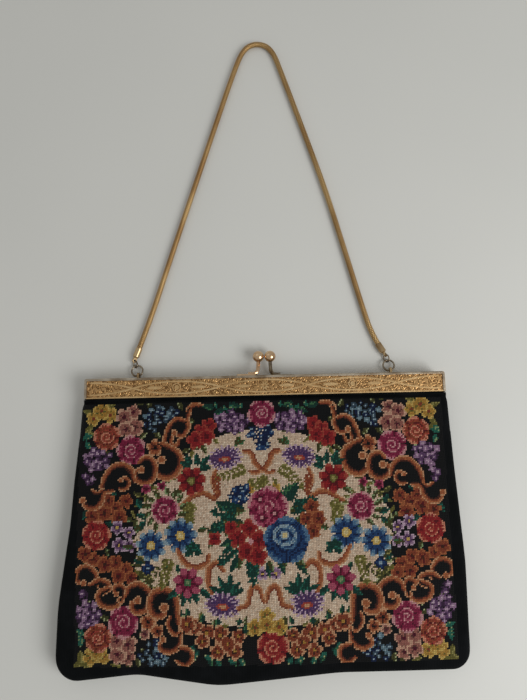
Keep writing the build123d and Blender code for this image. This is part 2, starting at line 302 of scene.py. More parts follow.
dress("front_frame", stamped)
for node in ("back_frame", "left_hinge_rivet", "right_hinge_rivet",
             "left_chain_lug", "right_chain_lug", "left_end_cap", "right_end_cap"):
    dress(node, plain_gilt)
for node in ("front_clasp_ball", "back_clasp_ball", "front_clasp_spring"):
    dress(node, bright_gilt)
dress("back_clasp_spring", worn_wire)

# %% [markdown]
# ## The shape of the pouch
#
# The two cloth walls share one outline, and the lining has its own, because the cloth covers
# the arms of the frame and the lining passes inside them. Both have the CAD model's numbers.

# %% Outlines of the cloth and of the lining
BODY = [
    (-107.6, -58.0, 120.0), (-109.0, -80.0, 120.0), (-114.6, -124.0, 120.0),
    (-115.4, -162.0, 12.0), (-70.5, -157.4, 45.0), (-28.0, -163.7, 60.0),
    (36.0, -158.4, 150.0), (106.4, -159.0, 10.0), (107.4, -104.0, 120.0),
    (105.2, -56.0, 150.0),
]
CLOTH_CORNERS = (
    [(-104.2, -12.6, 4.4), (-105.2, -32.0, 60.0)] + BODY
    + [(104.4, -32.0, 60.0), (104.0, -12.6, 4.4)]
)
LINING_CORNERS = (
    [(-100.8, -12.6, 5.2), (-100.8, -26.5, 6.0), (-104.8, -33.5, 12.0)] + BODY
    + [(103.8, -33.5, 12.0), (100.8, -26.5, 6.0), (100.8, -12.6, 5.2)]
)
ARM_CLEAR_X = 103.4
ARC_STEP = 0.8
OUTLINE_STEP = 0.9


def rotated(vector, cos, sin):
    return np.array([vector[0] * cos - vector[1] * sin, vector[0] * sin + vector[1] * cos])


def rounded_outline(outline, grow=0.0):
    """Points along an outline, about a millimetre apart, moved out by grow."""
    corners = np.array([(x, y) for x, y, radius in outline])
    line = []
    for index, (x, y, radius) in enumerate(outline):
        here = corners[index]
        into = here - corners[index - 1]
        away = corners[(index + 1) % len(corners)] - here
        into = into / np.linalg.norm(into)
        away = away / np.linalg.norm(away)
        turn = math.atan2(into[0] * away[1] - into[1] * away[0], into @ away)
        reach = radius * math.tan(abs(turn) / 2)
        normal = np.array([-into[1], into[0]]) * math.copysign(1, turn)
        centre = here - into * reach + normal * radius
        steps = max(2, int(abs(turn) * radius / ARC_STEP))
        for step in range(steps + 1):
            angle = turn * step / steps
            cos, sin = math.cos(angle), math.sin(angle)
            point = centre + rotated(-normal * radius, cos, sin)
            outward = rotated(np.array([into[1], -into[0]]), cos, sin)
            line.append(point + outward * grow)
    closed = np.array(line + line[:1])
    gaps = np.linalg.norm(np.diff(closed, axis=0), axis=1)
    along = np.concatenate([[0], np.cumsum(gaps)])
    spaced = np.arange(0, along[-1], OUTLINE_STEP)
    return np.stack([np.interp(spaced, along, closed[:, axis]) for axis in (0, 1)], axis=1)


CLOTH_EDGE = rounded_outline(CLOTH_CORNERS)
LINING_EDGE = rounded_outline(LINING_CORNERS)
print("edge of the cloth", len(CLOTH_EDGE), "points")


def edge_distance(points, edge):
    """Distance of each point to the nearest of the edge's short lines."""
    start = edge
    run = np.roll(edge, -1, axis=0) - edge
    length = (run**2).sum(axis=1)
    nearest = np.full(len(points), 1e9)
    for first, step, square in zip(start, run, length):
        offset = points - first
        share = np.clip((offset @ step) / square, 0, 1)
        gap = np.linalg.norm(offset - share[:, None] * step, axis=1)
        nearest = np.minimum(nearest, gap)
    return nearest


# %% [markdown]
# A grid of threads is stretched over the outline. Its four sides follow the mouth, the two
# side seams and the bottom seam, and its inner lines are blended from those four, so every
# little square of the grid is one stitch of the canvas.

# %% Grid stretched over the outline
ROUNDING = 3.4
FRONT_W = 216.0
FRONT_H = 150.0
MOUTH_Y = -14.0
MOUTH_CORNER_IN = 1.4
LOWER_LEFT = (-113.0, -159.0)
LOWER_RIGHT = (104.5, -157.0)


def nearest_index(edge, x, y):
    return int(np.argmin(np.hypot(edge[:, 0] - x, edge[:, 1] - y)))


def side_points(edge, first, last, shares):
    """Points at the given shares of the way along the edge from first to last."""
    count = (last - first) % len(edge)
    part = edge[(first + np.arange(count + 1)) % len(edge)]
    gaps = np.linalg.norm(np.diff(part, axis=0), axis=1)
    along = np.concatenate([[0], np.cumsum(gaps)]) / gaps.sum()
    return np.stack([np.interp(shares, along, part[:, axis]) for axis in (0, 1)], axis=1)


def thread_shares(count, length):
    """Spacing of the threads: close together on the rounded edges, even between them."""
    close = np.array([0.0, 0.06, 0.2, 0.42, 0.7, 1.0]) * ROUNDING / length
    middle = np.linspace(close[-1], 1 - close[-1], count + 1 - 2 * (len(close) - 1))
    return np.concatenate([close[:-1], middle, 1 - close[:-1][::-1]])


def stretched_grid(edge, across, down):
    """Places of the grid's crossings, row by row from the bottom up."""
    near_top = edge[edge[:, 1] > -20.0, 0]
    top_left = nearest_index(edge, near_top.min() + MOUTH_CORNER_IN, MOUTH_Y)
    bottom_left = nearest_index(edge, *LOWER_LEFT)
    bottom_right = nearest_index(edge, *LOWER_RIGHT)
    top_right = nearest_index(edge, near_top.max() - MOUTH_CORNER_IN, MOUTH_Y)
    u = thread_shares(across, FRONT_W)
    v = thread_shares(down, FRONT_H)
    left = side_points(edge, top_left, bottom_left, 1 - v[::-1])[::-1]
    bottom = side_points(edge, bottom_left, bottom_right, u)
    right = side_points(edge, bottom_right, top_right, v)
    top = side_points(edge, top_right, top_left, 1 - u[::-1])[::-1]
    uu = u[None, :, None]
    vv = v[:, None, None]
    sides = left[:, None, :] * (1 - uu) + right[:, None, :] * uu
    ends = bottom[None, :, :] * (1 - vv) + top[None, :, :] * vv
    corners = (
        bottom[0] * (1 - uu) * (1 - vv) + bottom[-1] * uu * (1 - vv)
        + top[0] * (1 - uu) * vv + top[-1] * uu * vv
    )
    return sides + ends - corners


# %% [markdown]
# The height of the front is a very flat dome that turns down over a rounded edge. Soft,
# slow waves keep it from looking pressed. A slack fold and the hollow beside it run in from
# the lower left corner, where the cloth has stretched most, and a fainter fold lies at the
# lower right.

# %% Driving heights of the pouch
CROWN_Z = 14.6
CROWN_MIDDLE = (-1.5, -92.0)
CROWN_SPREAD = 4600.0
FRONT_EDGE_R = 3.2
BACK_EDGE_R = 2.6
FRONT_HELD_Z = 10.45
BACK_HELD_Z = 1.5
SINK_FROM_X = 94.0
FOLD_W = 4.0
FOLDS = (
    (0.9, (-112, -118), (-78, -156)),
    (-0.7, (-112, -132), (-86, -160)),
    (0.5, (62, -152), (104, -146)),
)


# %% Height of the front and of the back
def slow_waves(x, y, seed):
    rng = np.random.default_rng(seed)
    total = np.zeros_like(x)
    for index in range(9):
        length = rng.uniform(28, 75)
        angle = rng.uniform(0, math.pi)
        phase = rng.uniform(0, 2 * math.pi)
        total += np.sin((x * math.cos(angle) + y * math.sin(angle)) * 2 * math.pi / length + phase)
    return total / 9


def fold(x, y, x0, y0, x1, y1, width):
    """A soft ridge along a line, fading at both ends."""
    run = np.array([x1 - x0, y1 - y0])
    length = np.linalg.norm(run)
    run = run / length
    along = ((x - x0) * run[0] + (y - y0) * run[1]) / length
    aside = (x - x0) * -run[1] + (y - y0) * run[0]
    fade = np.clip(along, 0, 1) * np.clip(1 - along, 0, 1) * 4
    return np.exp(-((aside / width) ** 2)) * fade


def smooth_rise(value, low, high):
    share = np.clip((value - low) / (high - low), 0, 1)
    return share * share * (3 - 2 * share)


def end_drop(x, edge):
    """How far the held cloth sinks towards the two ends of the mouth."""
    x = np.abs(x)
    if edge is CLOTH_EDGE:
        beside_arm = 5.0 * smooth_rise(x, ARM_CLEAR_X - 0.4, 104.6)
        return 0.85 * smooth_rise(x, SINK_FROM_X, 100.0) + beside_arm
    return 7.0 * smooth_rise(x, SINK_FROM_X, 100.8)


def front_height(x, y, edge, inset, waves=1.0):
    gap = edge_distance(np.stack([x, y], axis=1), edge) - inset
    radius = FRONT_EDGE_R - min(inset, 1.4)
    off_middle = (x - CROWN_MIDDLE[0]) ** 2 + (y - CROWN_MIDDLE[1]) ** 2
    crown = CROWN_Z - inset - off_middle / CROWN_SPREAD
    away = smooth_rise(gap, 0.0, 12.0)
    crown = crown + waves * away * 0.45 * slow_waves(x, y, 4)
    for rise, start, end in FOLDS:
        crown += waves * away * rise * fold(x, y, *start, *end, FOLD_W)
    inside = np.clip(gap, 0, radius)
    drop = radius - np.sqrt(np.maximum(radius**2 - (radius - inside) ** 2, 0))
    height = crown - drop
    held = FRONT_HELD_Z - inset - end_drop(x, edge)
    at_mouth = smooth_rise(y, -18.0, -14.5)
    return np.where(height < held, height + (held - height) * at_mouth, height)


def back_height(x, y, edge, inset, waves=1.0):
    gap = edge_distance(np.stack([x, y], axis=1), edge) - inset
    radius = BACK_EDGE_R - min(inset, 1.6)
    inside = np.clip(gap, 0, radius)
    rise = radius - np.sqrt(np.maximum(radius**2 - (radius - inside) ** 2, 0))
    away = smooth_rise(gap, 1.0, 14.0)
    height = inset + 0.05 + rise + waves * away * 0.12 * (1 + slow_waves(x, y, 9))
    held = BACK_HELD_Z + inset - 2.0 * smooth_rise(np.abs(x), SINK_FROM_X, 100.8)
    at_mouth = smooth_rise(y, -18.0, -14.0)
    return np.where(height < held, height + (held - height) * at_mouth, height)


# %% [markdown]
# Each cloth wall starts as a plain grid primitive. Its points are moved to the stretched
# grid, its rim is extruded down to the seam and, at the mouth, up into the channel. Beside
# the channel a short lip passes over the arm. A Solidify modifier gives the cloth thickness.

# %% A cloth wall from a grid
SEAM_Z = 5.0
CHANNEL_HALF_W = 95.0
IN_CHANNEL_Y = -10.6
LIP_Y = -12.1
LIP_RISE = 0.5


def rim_place(x, y, z, inset, edge, channel_z):
    """Where a point of the rim is extruded to."""
    if y > -13.6 - inset and abs(x) < CHANNEL_HALF_W:
        return IN_CHANNEL_Y, channel_z
    if edge is CLOTH_EDGE and y > -14.6 and abs(x) < ARM_CLEAR_X:
        return LIP_Y, z + math.copysign(LIP_RISE, z - SEAM_Z)
    return y, SEAM_Z


def lie_on_grid(mesh, across, down, edge, inset, height_of, waves):
    """Move the points of a grid primitive to the stretched grid, at their height."""
    outline = CLOTH_CORNERS if edge is CLOTH_EDGE else LINING_CORNERS
    spots = stretched_grid(rounded_outline(outline, -inset), across, down)
    flat = np.zeros(len(mesh.vertices) * 3)
    mesh.vertices.foreach_get("co", flat)
    flat = flat.reshape(-1, 3)
    column = np.rint((flat[:, 0] + 0.5) * across).astype(int)
    row = np.rint((flat[:, 1] + 0.5) * down).astype(int)
    xy = spots[row, column]
    z = height_of(xy[:, 0], xy[:, 1], edge, inset, waves)
    placed = np.column_stack([xy, z]) * MM + np.array(TOP_MIDDLE)
    mesh.vertices.foreach_set("co", placed.ravel())


def count_stitches(mesh, across, down):
    """Scale the grid's own UV map, so that it counts stitches."""
    uv = mesh.uv_layers.active.data
    values = np.zeros(len(uv) * 2)
    uv.foreach_get("uv", values)
    values = values.reshape(-1, 2) * np.array([across, down])
    uv.foreach_set("uv", values.ravel())


def turn_rim(mesh, edge, inset, channel_z, upwards):
    """Extrude the rim to the seam and into the channel, with the faces outwards."""
    shell = bmesh.new()
    shell.from_mesh(mesh)
    rim = [line for line in shell.edges if line.is_boundary]
    walls = bmesh.ops.extrude_edge_only(shell, edges=rim)["geom"]
    for point in [part for part in walls if isinstance(part, bmesh.types.BMVert)]:
        x, y, z = (Vector(point.co) - TOP_MIDDLE) / MM
        y, z = rim_place(x, y, z, inset, edge, channel_z)
        point.co.y = y * MM + TOP_MIDDLE.y
        point.co.z = z * MM
    bmesh.ops.recalc_face_normals(shell, faces=shell.faces)
    centre = place(0, -90, 0)
    middle = min(shell.faces, key=lambda face: (face.calc_center_median() - centre).xy.length)
    if middle.normal.z * upwards < 0:
        bmesh.ops.reverse_faces(shell, faces=shell.faces)
    shell.to_mesh(mesh)
    shell.free()


def cloth_wall(name, across, down, edge, inset, height_of, thickness, channel_z, waves=1.0):
    """One wall of the pouch or its lining. Its rim ends in the channel at channel_z."""
    clear_selection()
    bpy.ops.mesh.primitive_grid_add(x_subdivisions=across, y_subdivisions=down, size=1.0)
    piece = bpy.context.object
    piece.name = name
    lie_on_grid(piece.data, across, down, edge, inset, height_of, waves)
    count_stitches(piece.data, across, down)
    piece.data.update()
    turn_rim(piece.data, edge, inset, channel_z, 1 if height_of is front_height else -1)
    wall = piece.modifiers.new("cloth", "SOLIDIFY")
    wall.thickness = thickness * MM
    wall.offset = -1.0
    bpy.context.view_layer.objects.active = piece
    piece.select_set(True)
    bpy.ops.object.modifier_apply(modifier="cloth")
    return piece


# %% [markdown]
# ## Thread colours
#
# Petit point uses a small box of wool and silk threads. A flower is worked in three or four
# shades of one of them, dark at the rim of a petal and light towards its middle.

# %% The box of threads
THREADS = {
    "black": (9, 10, 12), "cream": (228, 200, 172), "cream_shade": (202, 172, 144),
    "cream_light": (242, 222, 196), "wine": (84, 18, 38), "magenta": (134, 32, 66),
    "pink": (180, 84, 106), "blush": (210, 152, 152), "deep_red": (98, 20, 28),
    "red": (148, 34, 38), "coral": (172, 72, 58), "salmon": (212, 138, 110), "brown": (72, 36, 26),
    "rust": (138, 66, 42), "orange": (172, 100, 62), "peach": (210, 156, 116),
    "umber": (92, 56, 50), "mauve": (158, 100, 88), "shell": (208, 162, 136), "plum": (58, 34, 62),
    "violet": (74, 50, 98), "purple": (100, 68, 106), "lilac": (152, 118, 148),
    "mist": (200, 172, 190), "navy": (16, 32, 68), "blue": (32, 66, 112), "sky": (86, 122, 154),
    "pale_blue": (152, 174, 184), "slate": (56, 76, 92), "haze": (104, 130, 142),
    "pine": (18, 60, 50), "teal": (34, 102, 84), "green": (66, 114, 74), "sage": (134, 158, 110),
    "moss": (70, 70, 34), "olive": (110, 104, 48), "khaki": (156, 148, 86),
    "pale_green": (176, 182, 132), "gold": (180, 136, 60), "yellow": (212, 178, 96),
    "straw": (224, 204, 146),
}
NAMES = list(THREADS)
CODE = {name: index for index, name in enumerate(NAMES)}

ACROSS = 252
DOWN = 174
AXIS_X = -2.5

# %% [markdown]
# ## The pattern as a worker would count it
#
# `pattern` holds one thread for each stitch. Every motif is a small function that lays its
# threads over a few stitches around a point. The design is nearly the same to the left and to
# the right of one upright line, so most motifs are laid twice. A later motif covers an earlier
# one, as a worker would plan it on squared paper.

# %% Canvas of stitches
canvas_spots = stretched_grid(CLOTH_EDGE, ACROSS, DOWN)
stitch_x = (canvas_spots[:-1, :-1, 0] + canvas_spots[1:, 1:, 0]) / 2
stitch_y = (canvas_spots[:-1, :-1, 1] + canvas_spots[1:, 1:, 1]) / 2
pattern = np.full(stitch_x.shape, CODE["black"])
chance = np.random.default_rng(11)
scatter = chance.random(pattern.shape)


def polar(x, y, turn=0.0, squash=1.0):
    """Distance and angle of every stitch about a point, in a turned and squashed frame."""
    dx = stitch_x - x
    dy = stitch_y - y
    c, s = math.cos(math.radians(turn)), math.sin(math.radians(turn))
    along = dx * c + dy * s
    aside = (-dx * s + dy * c) / squash
    return np.hypot(along, aside), np.arctan2(aside, along)


def lay(mask, thread):
    pattern[mask] = CODE[thread]


def lay_shades(mask, level, threads):
    """Threads from the first to the last as the level goes from 0 to 1."""
    level = np.clip(level + (scatter - 0.5) * 0.12, 0, 0.999)
    pick = (level * len(threads)).astype(int)
    codes = np.array([CODE[thread] for thread in threads])
    pattern[mask] = codes[pick[mask]]


def count_coloured(part):
    """Print how many stitches have a colour by now."""
    print(part, int((pattern != CODE["black"]).sum()), "coloured stitches")


# %% [markdown]
# Flowers could be drawn by hand, stitch by stitch, but then none could be moved or recoloured.
# Each kind is a formula instead, in the distance and the angle about its middle: the
# distance picks the shade, and a wave in the angle cuts the petals.

# %% Round flowers
def rose(x, y, size, threads, turn=0.0):
    """Full rose: a tight curl of petals in the middle and five broad ones round it."""
    far, angle = polar(x, y, turn)
    share = far / size
    lobes = np.abs(np.cos(2.5 * angle))
    reach = 0.9 + 0.1 * lobes
    curl_in = (share * 3.4 - angle / (2 * math.pi)) % 1.0
    broad = 0.1 + 0.9 * np.clip((share - 0.5) / 0.42, 0, 1) ** 0.8 * np.clip(lobes * 1.6, 0, 1)
    level = np.where(share < 0.52, 0.2 + 0.8 * curl_in, broad)
    lay_shades(share < reach, level, threads)
    streaks = (share > 0.55) & (share < reach - 0.1) & (np.cos(26 * angle) > 0.55)
    lay(streaks, threads[1])


def daisy(x, y, size, threads, heart, petals=8, turn=0.0, squash=1.0):
    """Open flower with separate petals, dark between them, and a round heart."""
    far, angle = polar(x, y, turn, squash)
    wave = np.abs(np.cos(petals * angle / 2))
    reach = size * (0.66 + 0.34 * wave**0.7)
    level = np.clip(far / size, 0, 1) * np.clip(wave * 1.5, 0.2, 1)
    lay_shades(far < reach, level, threads)
    lay(far < size * 0.27, heart[0])
    lay(far < size * 0.15, heart[-1])


def aster(x, y, width, threads, heart, turn=0.0):
    """Wide flower of narrow rays with a low oval heart."""
    far, angle = polar(x, y, turn, 0.68)
    rays = np.abs(np.cos(8.5 * angle))
    reach = width * (0.56 + 0.44 * rays**0.5)
    lay_shades(far < reach, 0.1 + 0.9 * rays * (0.45 + 0.55 * far / width), threads)
    core, _ = polar(x, y - width * 0.08, turn, 0.5)
    lay(core < width * 0.32, heart[0])
    lay(core < width * 0.17, heart[-1])


def blossom(x, y, size, threads, turn=0.0, petals=5):
    """Small flower with round petals: its heart, its gaps, its body and its pale rim."""
    far, angle = polar(x, y, turn)
    wave = np.abs(np.cos(petals * angle / 2))
    reach = size * (0.6 + 0.4 * wave**0.6)
    level = np.clip(far / reach, 0, 1) * np.where(wave < 0.35, 0.35, 1.0)
    lay_shades(far < reach, level, threads[1:])
    lay(far < size * 0.2, threads[0])


# %% [markdown]
# A head such as lilac shows as many tiny crosses on a dark ground. The florets follow the
# spiral of a sunflower's seeds, which fills an oval evenly and shows no rows.

# %% Heads of many florets
def cluster(x, y, width, height, threads, seed, dot=1.75):
    """Head of four-petalled florets on a dark ground, each with a light middle."""
    rng = np.random.default_rng(seed)
    far, _ = polar(x, y, 0.0, height / width)
    lay((far < width * 0.47) & (scatter > 0.2), threads[0])
    count = int(width * height / (dot * dot * 3.4))
    for index in range(count):
        reach = math.sqrt((index + 0.5) / count)
        bx = x + width / 2 * reach * math.cos(index * 2.4 + seed) + rng.normal(0, 0.3)
        by = y + height / 2 * reach * math.sin(index * 2.4 + seed) + rng.normal(0, 0.3)
        far, angle = polar(bx, by, rng.uniform(0, 90))
        size = dot * rng.uniform(0.8, 1.15)
        floret = far < size * (0.6 + 0.4 * np.abs(np.cos(2 * angle)))
        lay(floret, threads[1 + index % (len(threads) - 2)])
        lay(far < size * 0.34, threads[-1])


def blossoms(x, hand, spots, threads, size=4.3):
    """Several small flowers, each turned by its own amount."""
    for index, (px, py) in enumerate(spots):
        blossom(x + hand * px, py, size * (0.9 + 0.2 * ((index * 7) % 5) / 4), threads, index * 50)


# %% [markdown]
# A leaf is a spindle along its own line, with a light side and a dark one. Sprays and wreaths
# are made of leaves, set along a stem or round a flower.

# %% Leaves
def leaf(x, y, length, turn, dark, light, plump=0.3):
    """Pointed leaf with a saw edge, its light side and its midrib."""
    c, s = math.cos(math.radians(turn)), math.sin(math.radians(turn))
    along = (stitch_x - x) * c + (stitch_y - y) * s
    aside = -(stitch_x - x) * s + (stitch_y - y) * c
    share = np.clip(along / length, 0, 1)
    half = length * plump * np.sin(math.pi * share**0.8) * (0.86 + 0.14 * np.cos(along * 3.2))
    inside = (along > 0) & (along < length) & (np.abs(aside) < half)
    lay(inside, dark)
    lay(inside & (aside > half * 0.2) & (np.cos(along * 3.2 - aside * 2.0) > -0.4), light)


def leaves(x, hand, spots, length, dark, light, plump=0.3):
    """Several leaves of one kind, given for the right half."""
    for px, py, turn in spots:
        leaf(x + hand * px, py, length, facing(turn, hand), dark, light, plump)


def spray(x, y, length, turn, pairs, dark, light, size=4.0, bend=25.0):
    """Pairs of small narrow leaves along a curve, and one more leaf at its end."""
    for index in range(pairs):
        share = (index + 0.6) / pairs
        way = math.radians(turn + bend * share)
        sx = x + length * share * math.cos(way)
        sy = y + length * share * math.sin(way)
        for side in (1, -1):
            aim = turn + bend * share + side * 46
            leaf(sx, sy, size * (1.15 - 0.4 * share), aim, dark, light, 0.27)
    leaf(sx, sy, size, turn + bend, dark, light, 0.27)


def wreath(x, y, radius, first, last, dark, light, size=5.0):
    """Feathery leaves that lie round a flower from one angle to another."""
    for turn in range(first, last, 24):
        px = x + radius * math.cos(math.radians(turn))
        py = y + radius * math.sin(math.radians(turn))
        leaf(px, py, size, turn + 35, dark, light, 0.26)


# %% [markdown]
# Scrolls and branches are broad lines. A curve runs through a few listed points, and
# the distance to it, counted to the left or to the right, picks the thread.

# %% Strokes
def smooth_path(points):
    """Catmull-Rom curve through points."""
    knots = np.array(points, dtype=float)
    ends = np.concatenate([[2 * knots[0] - knots[1]], knots, [2 * knots[-1] - knots[-2]]])
    path = []
    for index in range(1, len(ends) - 2):
        a, b, c, d = ends[index - 1:index + 3]
        for t in np.linspace(0, 1, 8, endpoint=False):
            path.append(0.5 * (2 * b + (c - a) * t + (2 * a - 5 * b + 4 * c - d) * t**2
                               + (3 * b - a - 3 * c + d) * t**3))
    path.append(knots[-1])
    return np.array(path)


def stroke(points, width, lit, threads, taper=0.3):
    """Broad line through points. lit is 1 where its left edge is the light one, else -1."""
    path = smooth_path(points)
    near = np.full(stitch_x.shape, 1e9)
    side = np.zeros(stitch_x.shape)
    for index in range(len(path) - 1):
        run = path[index + 1] - path[index]
        slim = 1 - taper * abs(2 * (index + 0.5) / len(path) - 1) ** 3
        dx = stitch_x - path[index, 0]
        dy = stitch_y - path[index, 1]
        t = np.clip((dx * run[0] + dy * run[1]) / (run @ run), 0, 1)
        gap = np.hypot(dx - t * run[0], dy - t * run[1]) / slim
        closer = gap < near
        near = np.where(closer, gap, near)
        side = np.where(closer, gap * np.sign(run[0] * dy - run[1] * dx), side)
    lay_shades(near < width / 2, lit * side / width + 0.5, threads)
    return path[-1]


# %% [markdown]
# A scroll is a stroke with five shades across, which may end in a round knob. A branch on the
# medallion is thinner and has no black in it.

# %% Scrolls
SCROLL = ["black", "brown", "rust", "orange", "orange", "peach"]
BRANCH = ["rust", "orange", "orange", "peach"]


def scroll(x, hand, points, width, lit, knob=True, threads=SCROLL):
    """Scroll given for the right half. It may end in a round knob."""
    path = [(x + hand * px, py) for px, py in points]
    end = stroke(path, width, lit * hand, threads)
    if knob:
        far, _ = polar(*end)
        lay(far < width * 0.52, "peach")
        lay(far < width * 0.36, "orange")


def hollow(x, hand, px, py, size):
    """Black inside of a scroll."""
    lay(polar(x + hand * px, py)[0] < size, "black")


# %% [markdown]
# Both halves are worked from one list. `twin` gives the line that each half is counted from,
# and its hand. A motif's place is mirrored in that line, and each half keeps its own small
# chances, as in work done by hand.

# %% Left and right
def twin(offset=0.0):
    """Where each half is counted from, and its hand: -1 on the left, 1 on the right."""
    return ((AXIS_X - offset, -1), (AXIS_X + offset, 1))


def facing(turn, hand):
    """An angle on the right side, turned round for the left one."""
    return turn if hand > 0 else 180 - turn


# %% [markdown]
# ### Grounds
#
# The middle of the front is a cream medallion with a wavy edge, and the rest is black. The
# edge is a polygon, and counting how often a row crosses it tells which stitches are inside.

# %% Cream medallion
MEDALLION = [
    (0, -30), (14, -31), (27, -35), (38, -41), (44, -45), (45, -51), (50, -57), (61, -60),
    (64, -64), (66, -70), (69.5, -77), (67, -83), (71, -89), (67.5, -95), (70.5, -101),
    (67, -107), (64, -110), (60, -113), (53, -115), (48, -118), (45, -126), (35, -129.5),
    (24, -133), (11, -133.5), (0, -134),
]


def inside_medallion():
    right = [(AXIS_X + x, y) for x, y in MEDALLION]
    left = [(AXIS_X - x, y) for x, y in MEDALLION[::-1]]
    loop = np.array(right + left)
    odd = np.zeros(stitch_x.shape, dtype=bool)
    for (x0, y0), (x1, y1) in zip(loop, np.roll(loop, -1, axis=0)):
        if y0 == y1:
            continue
        crosses = ((stitch_y > y0) != (stitch_y > y1))
        cut = x0 + (stitch_y - y0) / (y1 - y0) * (x1 - x0)
        odd ^= crosses & (stitch_x < cut)
    return odd


cream = inside_medallion()
lay(cream, "cream")
lay(cream & (scatter > 0.88), "cream_shade")
lay(cream & (scatter < 0.12), "cream_light")

# %% Leaves along the edge of the medallion
for x, hand in twin():
    for index, (px, py) in enumerate(MEDALLION[1:-1]):
        first = facing((index * 70) % 360, hand)
        second = facing((index * 70 + 150) % 360, hand)
        leaf(x + hand * px, py, 6.0, first, "moss", "pale_green", 0.26)
        leaf(x + hand * px, py, 5.0, second, "olive", "khaki", 0.26)

# %% [markdown]
# ### Flowers in the corners
#
# Each corner holds two roses, two heads of lilac, a blue head, and small yellow and dusty
# pink flowers. The leaves are laid first, so that only their tips look out.

# %% Shades of the flowers
CRIMSON = ["wine", "magenta", "magenta", "pink", "blush"]
FIRE = ["deep_red", "rust", "coral", "salmon"]
SCARLET = ["deep_red", "red", "red", "coral", "salmon"]
BERRY = ["deep_red", "deep_red", "red", "red", "coral"]
DUSK = ["violet", "violet", "purple", "mist"]
LILAC = ["plum", "purple", "lilac", "mist"]
PETALS = ["wine", "umber", "mauve", "mauve", "shell"]
PANSY = ["rust", "olive", "gold", "gold", "yellow"]
RUSTY = ["gold", "brown", "rust", "rust", "peach"]
AMBER = ["brown", "deep_red", "rust", "rust", "orange"]
FORGET = ["navy", "blue", "blue", "sky", "pale_blue"]
DEEP_BLUE = ["navy", "navy", "blue", "pale_blue"]
TAWNY = ["black", "brown", "rust", "orange", "peach"]
CLARET = ["wine", "magenta", "pink", "pink"]
GREY_BLUE = ["black", "navy", "slate", "haze", "pale_blue"]

# %% Upper corners
for number, (x, hand) in enumerate(twin()):
    seed = 40 * number
    leaves(x, hand, [
        (95, -20, 20), (94, -26, -35), (88, -17, 160), (99, -30, 200)
    ], 6.5, "olive", "khaki")
    leaves(x, hand, [
        (44, -19, 60), (64, -17, 120), (67, -16, 60), (60, -31, 220), (64, -31, 320),
        (37, -26, 20), (40, -39, 200), (84, -43, 30), (81, -47, 240), (83, -49, 300)
    ], 5.5, "moss", "pale_green")
    leaves(x, hand, [(97, -30, 300), (98, -35, 250), (95, -32, 340)], 5.5, "teal", "sage")
    cluster(x + hand * 56.5, -21.5, 20, 10, GREY_BLUE, seed + 1)
    cluster(x + hand * 62, -27, 8, 7, GREY_BLUE, seed + 2)
    blossoms(x, hand, [(94.5, -22.6), (85, -21), (90, -18.5)], PANSY, 4.8)
    blossoms(x, hand, [(72, -19.5), (77, -22), (71, -28), (76, -29)], PETALS, 5.0)
    rose(x + hand * 86.6, -33, 7.8, FIRE, 30)
    rose(x + hand * 72.6, -40.6, 8.4, CRIMSON, 40 * hand)
    cluster(x + hand * 91.5, -45.5, 15, 13, LILAC, seed + 3, 2.0)
    cluster(x + hand * 95.5, -56, 6, 7, LILAC, seed + 4, 2.0)
count_coloured("upper corners")

# %% Lower corners
for number, (x, hand) in enumerate(twin()):
    seed = 80 + 40 * number
    leaves(x, hand, [
        (92, -151, 350), (97, -150, 330), (82, -151, 200), (99, -145, 260)
    ], 6.5, "olive", "khaki")
    leaves(x, hand, [(97, -141, 60), (98, -138, 280), (96, -136, 20)], 5.5, "teal", "sage")
    leaves(x, hand, [
        (84, -125, 100), (83, -129, 20), (66, -139, 100), (66, -144, 220), (68, -148, 260),
        (71, -150, 300), (94, -119, 300)
    ], 5.5, "moss", "pale_green")
    cluster(x + hand * 59, -147.5, 17, 9, GREY_BLUE, seed + 1)
    cluster(x + hand * 59.5, -142, 8, 6, GREY_BLUE, seed + 2)
    cluster(x + hand * 94.5, -127, 14, 14, LILAC, seed + 3, 2.0)
    cluster(x + hand * 97, -117, 5, 7, LILAC, seed + 4, 2.0)
    blossoms(x, hand, [(86.1, -147.5), (93, -148), (90, -144.5)], PANSY, 4.8)
    blossoms(x, hand, [(73, -148), (78.5, -146.5), (73, -141.5), (79, -140)], PETALS, 5.0)
    rose(x + hand * 89, -138.2, 7.4, FIRE, 80)
    rose(x + hand * 75.6, -130.4, 8.6, CRIMSON, 200)
count_coloured("lower corners")

# %% [markdown]
# ### Garlands down the sides and along the bottom
#
# Small rust-coloured flowers run in chains between the scrolls, with a few violet ones and
# a red rose half way up each side, and another red rose in the middle below.

# %% Sides
for x, hand in twin():
    leaves(x, hand, [
        (66, -72, 60), (69, -75, 200), (80, -64, 20), (96, -72, 300), (96, -80, 260),
        (68, -83, 130), (86, -79, 200), (98, -92, 260), (70, -99, 190)
    ], 6.5, "pine", "teal")
    leaves(x, hand, [
        (66, -66, 30), (64, -69, 90), (69, -97, 200), (66, -100, 160), (64, -108, 200),
        (67, -104, 240)
    ], 6.0, "moss", "khaki", 0.26)
    leaves(x, hand, [
        (71, -79, 30), (86, -92, 250), (98, -100, 250), (66, -89, 160)
    ], 5.0, "moss", "sage")
    blossoms(x, hand, [
        (75, -68), (81, -71.5), (87, -74), (93.5, -75.5), (78.5, -76.5), (85, -67.5)
    ], AMBER, 4.6)
    blossoms(x, hand, [
        (74.4, -103.5), (80.1, -100), (86, -101), (92.5, -98), (97, -95.5), (71.8, -108),
        (78.5, -107)
    ], AMBER, 4.4)
    blossoms(x, hand, [
        (73.2, -84.5), (79.6, -81.8), (78.4, -91), (72.5, -91.5)
    ], ["yellow", "plum", "purple", "lilac", "mist"], 3.9)
    rose(x + hand * 91.1, -85.8, 8.2, SCARLET, 10)
count_coloured("sides")

